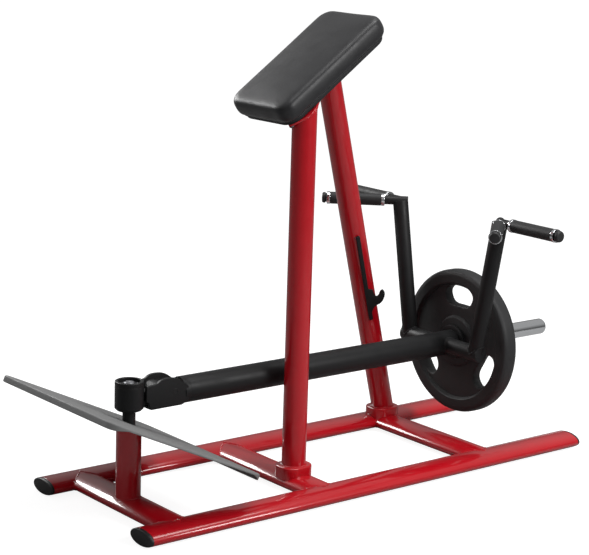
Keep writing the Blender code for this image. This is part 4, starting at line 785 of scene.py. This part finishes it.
# How far the side is drawn in, at which share of the cushion's height.
CUSHION_SIDE = ((0.0105, 0.0), (0.0060, 0.04), (0.0025, 0.12), (0.0004, 0.28), (0.0, 0.48), (0.0006, 0.66),
                (0.0022, 0.77), (0.0052, 0.85), (0.0100, 0.905), (0.0170, 0.938), (0.0270, 0.956),
                (0.045, 0.970), (0.075, 0.986), (0.105, 0.996), (0.1299, 1.0))
VOXEL, HELD_HEIGHT, PRESSURE, PRESSED_FRAMES, AVERAGINGS = 0.005, 0.008, 4.0, 20, 60
STIFFNESS, BENDING, COVER_INSET, FILL_MOVE = 30.0, 20.0, 0.0015, 0.004


def cushion_shell(inset, rows=40, columns=200):
    """A padded block: a rounded rectangle in plan whose sides bulge out to a waist, draw in to the board, and
    roll over a soft edge to a crown that rises 4 mm more to the middle."""
    side = np.array(CUSHION_SIDE)
    step = np.linalg.norm(np.diff(side * (1, PAD_THICKNESS), axis=0), axis=1)
    run = np.concatenate([[0], np.cumsum(step)])
    at = np.concatenate([[0.0], np.linspace(0.001, run[-1], rows - 1)])
    drawn, share = np.interp(at, run, side[:, 0]), np.interp(at, run, side[:, 1])
    plan = rounded_rectangle(PAD_LENGTH - 2 * inset, PAD_WIDTH - 2 * inset, PAD_CORNER - inset / 2,
                             columns // 4)
    half = np.array((PAD_LENGTH, PAD_WIDTH)) / 2 - inset
    spine = half[0] - half[1]
    core = np.stack([np.clip(plan[:, 0], -spine, spine), np.zeros(len(plan))], axis=1)
    keep = 1 - drawn[:, None, None] / half[1]
    flat = core + (plan - core) * keep
    up = inset / 2 + share * (PAD_THICKNESS - inset)
    local = np.concatenate([flat, np.broadcast_to(up[:, None, None], (*flat.shape[:2], 1))], axis=-1)
    return pad_centre + pad_axes[2] * (BOARD_THICKNESS + SEAT_GAP - pad_total / 2) + local @ pad_axes


def swell(piece, cap):
    """Fill the cover with pressure for some frames of cloth. Each point then moves by the mean of its
    neighbours' moves, taken over and over, scaled so that the longest move is the cap."""
    remesh = piece.modifiers.new("even_mesh", "REMESH")
    remesh.mode, remesh.voxel_size = "VOXEL", VOXEL
    graph = bpy.context.evaluated_depsgraph_get()
    mesh = bpy.data.meshes.new_from_object(piece.evaluated_get(graph))
    piece.modifiers.clear()
    old, piece.data = piece.data, mesh
    bpy.data.meshes.remove(old)
    rest = np.empty(len(mesh.vertices) * 3)
    mesh.vertices.foreach_get("co", rest)
    rest = rest.reshape(-1, 3)
    height = (rest - pad_centre) @ pad_axes[2]
    held = piece.vertex_groups.new(name="held")
    held.add(np.flatnonzero(height < height.min() + HELD_HEIGHT).tolist(), 1.0, "REPLACE")
    cloth = piece.modifiers.new("cover", "CLOTH")
    cloth.settings.use_pressure = True
    cloth.settings.uniform_pressure_force = PRESSURE
    cloth.settings.tension_stiffness = cloth.settings.compression_stiffness = STIFFNESS
    cloth.settings.bending_stiffness = BENDING
    cloth.settings.effector_weights.gravity = 0.0
    cloth.settings.vertex_group_mass = "held"
    for number in range(1, PRESSED_FRAMES + 1):
        bpy.context.scene.frame_set(number)
    blown = bpy.data.meshes.new_from_object(piece.evaluated_get(bpy.context.evaluated_depsgraph_get()))
    moved = np.empty(len(rest) * 3)
    blown.vertices.foreach_get("co", moved)
    bpy.data.meshes.remove(blown)
    piece.modifiers.clear()
    move = moved.reshape(-1, 3) - rest
    pair = np.empty(len(mesh.edges) * 2, int)
    mesh.edges.foreach_get("vertices", pair)
    here, there = np.concatenate([pair[0::2], pair[1::2]]), np.concatenate([pair[1::2], pair[0::2]])
    joined = np.maximum(np.bincount(here, minlength=len(rest)), 1)
    for _ in range(AVERAGINGS):
        move = np.stack([np.bincount(here, move[there, k], len(rest)) / joined for k in range(3)], axis=1)
    rest += move * cap / np.linalg.norm(move, axis=1).max()
    mesh.vertices.foreach_set("co", rest.ravel())
    mesh.update()
    piece.vertex_groups.clear()
    bpy.context.scene.frame_set(1)


WELT_INSET, WELT_RADIUS, WELT_RISE = 0.0105, 0.0016, 0.0008
cushion = surface("vinyl_cushion", cushion_shell(COVER_INSET), vinyl, sharp=70.0)
swell(cushion, FILL_MOVE)
smooth = cushion.modifiers.new("fine", "SUBSURF")
smooth.levels = smooth.render_levels = 1
cushion.data.shade_smooth()
cushion.data.materials.clear()
cushion.data.materials.append(vinyl)
show(cushion, "base", "vinyl", "pad_cushion")

path = rounded_rectangle(PAD_LENGTH - 2 * WELT_INSET, PAD_WIDTH - 2 * WELT_INSET, PAD_CORNER, 40)
welt_line = np.column_stack([path, np.full(len(path), BOARD_THICKNESS - pad_total / 2 + WELT_RISE)])
welt = weld("sewn_welt", pad_centre + welt_line @ pad_axes, WELT_RADIUS, vinyl, pitch=0.0050)
show(welt, "base", "vinyl")

# Camera. It stands where the photograph was taken from, low in front of the near corner.

CAMERA_PLACE, CAMERA_AIM = (-2.6681, -4.0136, 1.7100), (0.6130, 0.7613, -0.2113)
CAMERA_ROLL = math.radians(1.8128)

camera = bpy.data.objects.new("camera", bpy.data.cameras.new("camera"))
bpy.context.scene.collection.objects.link(camera)
camera.data.lens, camera.data.sensor_width = 112.0, 36.0
camera.data.clip_end = 100.0
forward = unit(CAMERA_AIM)
right = unit((forward[1], -forward[0], 0))
upward = np.cross(right, forward)
sideways = right * math.cos(CAMERA_ROLL) + upward * math.sin(CAMERA_ROLL)
skyward = upward * math.cos(CAMERA_ROLL) - right * math.sin(CAMERA_ROLL)


def stand(thing, axes, place):
    """Put a camera or a lamp in its place, with its own X, Y and Z along the three axes."""
    pose = np.eye(4)
    pose[:3, :3], pose[:3, 3] = np.transpose(axes), place
    thing.matrix_world = Matrix(pose.tolist())


stand(camera, (sideways, skyward, -forward), spot(*CAMERA_PLACE))
bpy.context.scene.camera = camera

# Studio. A pale floor that runs on into a white surround, and three soft boxes. The surround is white to
# the camera alone; what it sheds on the machine is dim, and brighter from above.

FLOOR_SHADE, FLOOR_GLOW, FLOOR_RADIUS, FLOOR_SINK = 0.38, 0.90, 30.0, 0.0005
LAMP_AIM = (0, 0, 0.5)

floor_look = bpy.data.materials.new("white_studio_floor")
floor_look.use_nodes = True
floor_look.node_tree.nodes.clear()
paint = add_node(floor_look, "ShaderNodeBsdfDiffuse", {"Color": (FLOOR_SHADE, FLOOR_SHADE, FLOOR_SHADE, 1)})
ray = add_node(floor_look, "ShaderNodeLightPath")
level = add_node(floor_look, "ShaderNodeMath", {"operation": "MULTIPLY"}, {0: (ray, "Is Camera Ray")})
level.inputs[1].default_value = FLOOR_GLOW
glow = add_node(floor_look, "ShaderNodeEmission", {"Color": (1, 1, 1, 1)}, {"Strength": (level, 0)})
both = add_node(floor_look, "ShaderNodeAddShader", None, {0: (paint, 0), 1: (glow, 0)})
add_node(floor_look, "ShaderNodeOutputMaterial", None, {"Surface": (both, 0)})
disc = np.column_stack([oval(2 * FLOOR_RADIUS, 2 * FLOOR_RADIUS, 128), np.full(128, -FLOOR_SINK)])
floor_mesh = bpy.data.meshes.new("studio_floor")
floor_mesh.from_pydata(disc.tolist(), [], [list(range(len(disc)))])
floor_mesh.materials.append(floor_look)
floor = bpy.data.objects.new("studio_floor", floor_mesh)
bpy.context.scene.collection.objects.link(floor)

world = bpy.data.worlds.new("white_surround")
bpy.context.scene.world = world
world.use_nodes = True
world.node_tree.nodes.clear()
ray = add_node(world, "ShaderNodeLightPath")
sky = add_node(world, "ShaderNodeTexCoord")
height = add_node(world, "ShaderNodeSeparateXYZ", None, {0: (sky, "Generated")})
grade = add_node(world, "ShaderNodeMapRange", None, {"Value": (height, "Z")})
for key, value in (("From Min", 0.04), ("From Max", 0.50), ("To Min", 0.10), ("To Max", 0.42)):
    grade.inputs[key].default_value = value
dim = add_node(world, "ShaderNodeBackground", {"Color": (1, 1, 1, 1)}, {"Strength": (grade, "Result")})
white = add_node(world, "ShaderNodeBackground", {"Color": (1, 1, 1, 1), "Strength": 1.0})
choose = add_node(world, "ShaderNodeMixShader", None, {0: (ray, "Is Camera Ray"), 1: (dim, 0), 2: (white, 0)})
add_node(world, "ShaderNodeOutputWorld", None, {"Surface": (choose, 0)})

for name, place, size, power in (("back_softbox", (-0.95, 3.3, 2.25), (1.9, 1.1), 125.0),
                                 ("top_softbox", (0.6, -0.4, 4.6), (2.2, 2.2), 120.0),
                                 ("front_softbox", (1.1, -3.0, 2.2), (1.0, 1.3), 70.0)):
    light = bpy.data.lights.new(name, "AREA")
    light.shape, light.size, light.size_y, light.energy = "RECTANGLE", size[0], size[1], power
    lamp = bpy.data.objects.new(name, light)
    lamp.visible_diffuse = name != "back_softbox"        # it only draws the bright bands on the coat
    bpy.context.scene.collection.objects.link(lamp)
    stand(lamp, facing(np.array(place) - LAMP_AIM, (0, 0.01, 1)), place)

bpy.context.scene.view_settings.view_transform = "Standard"
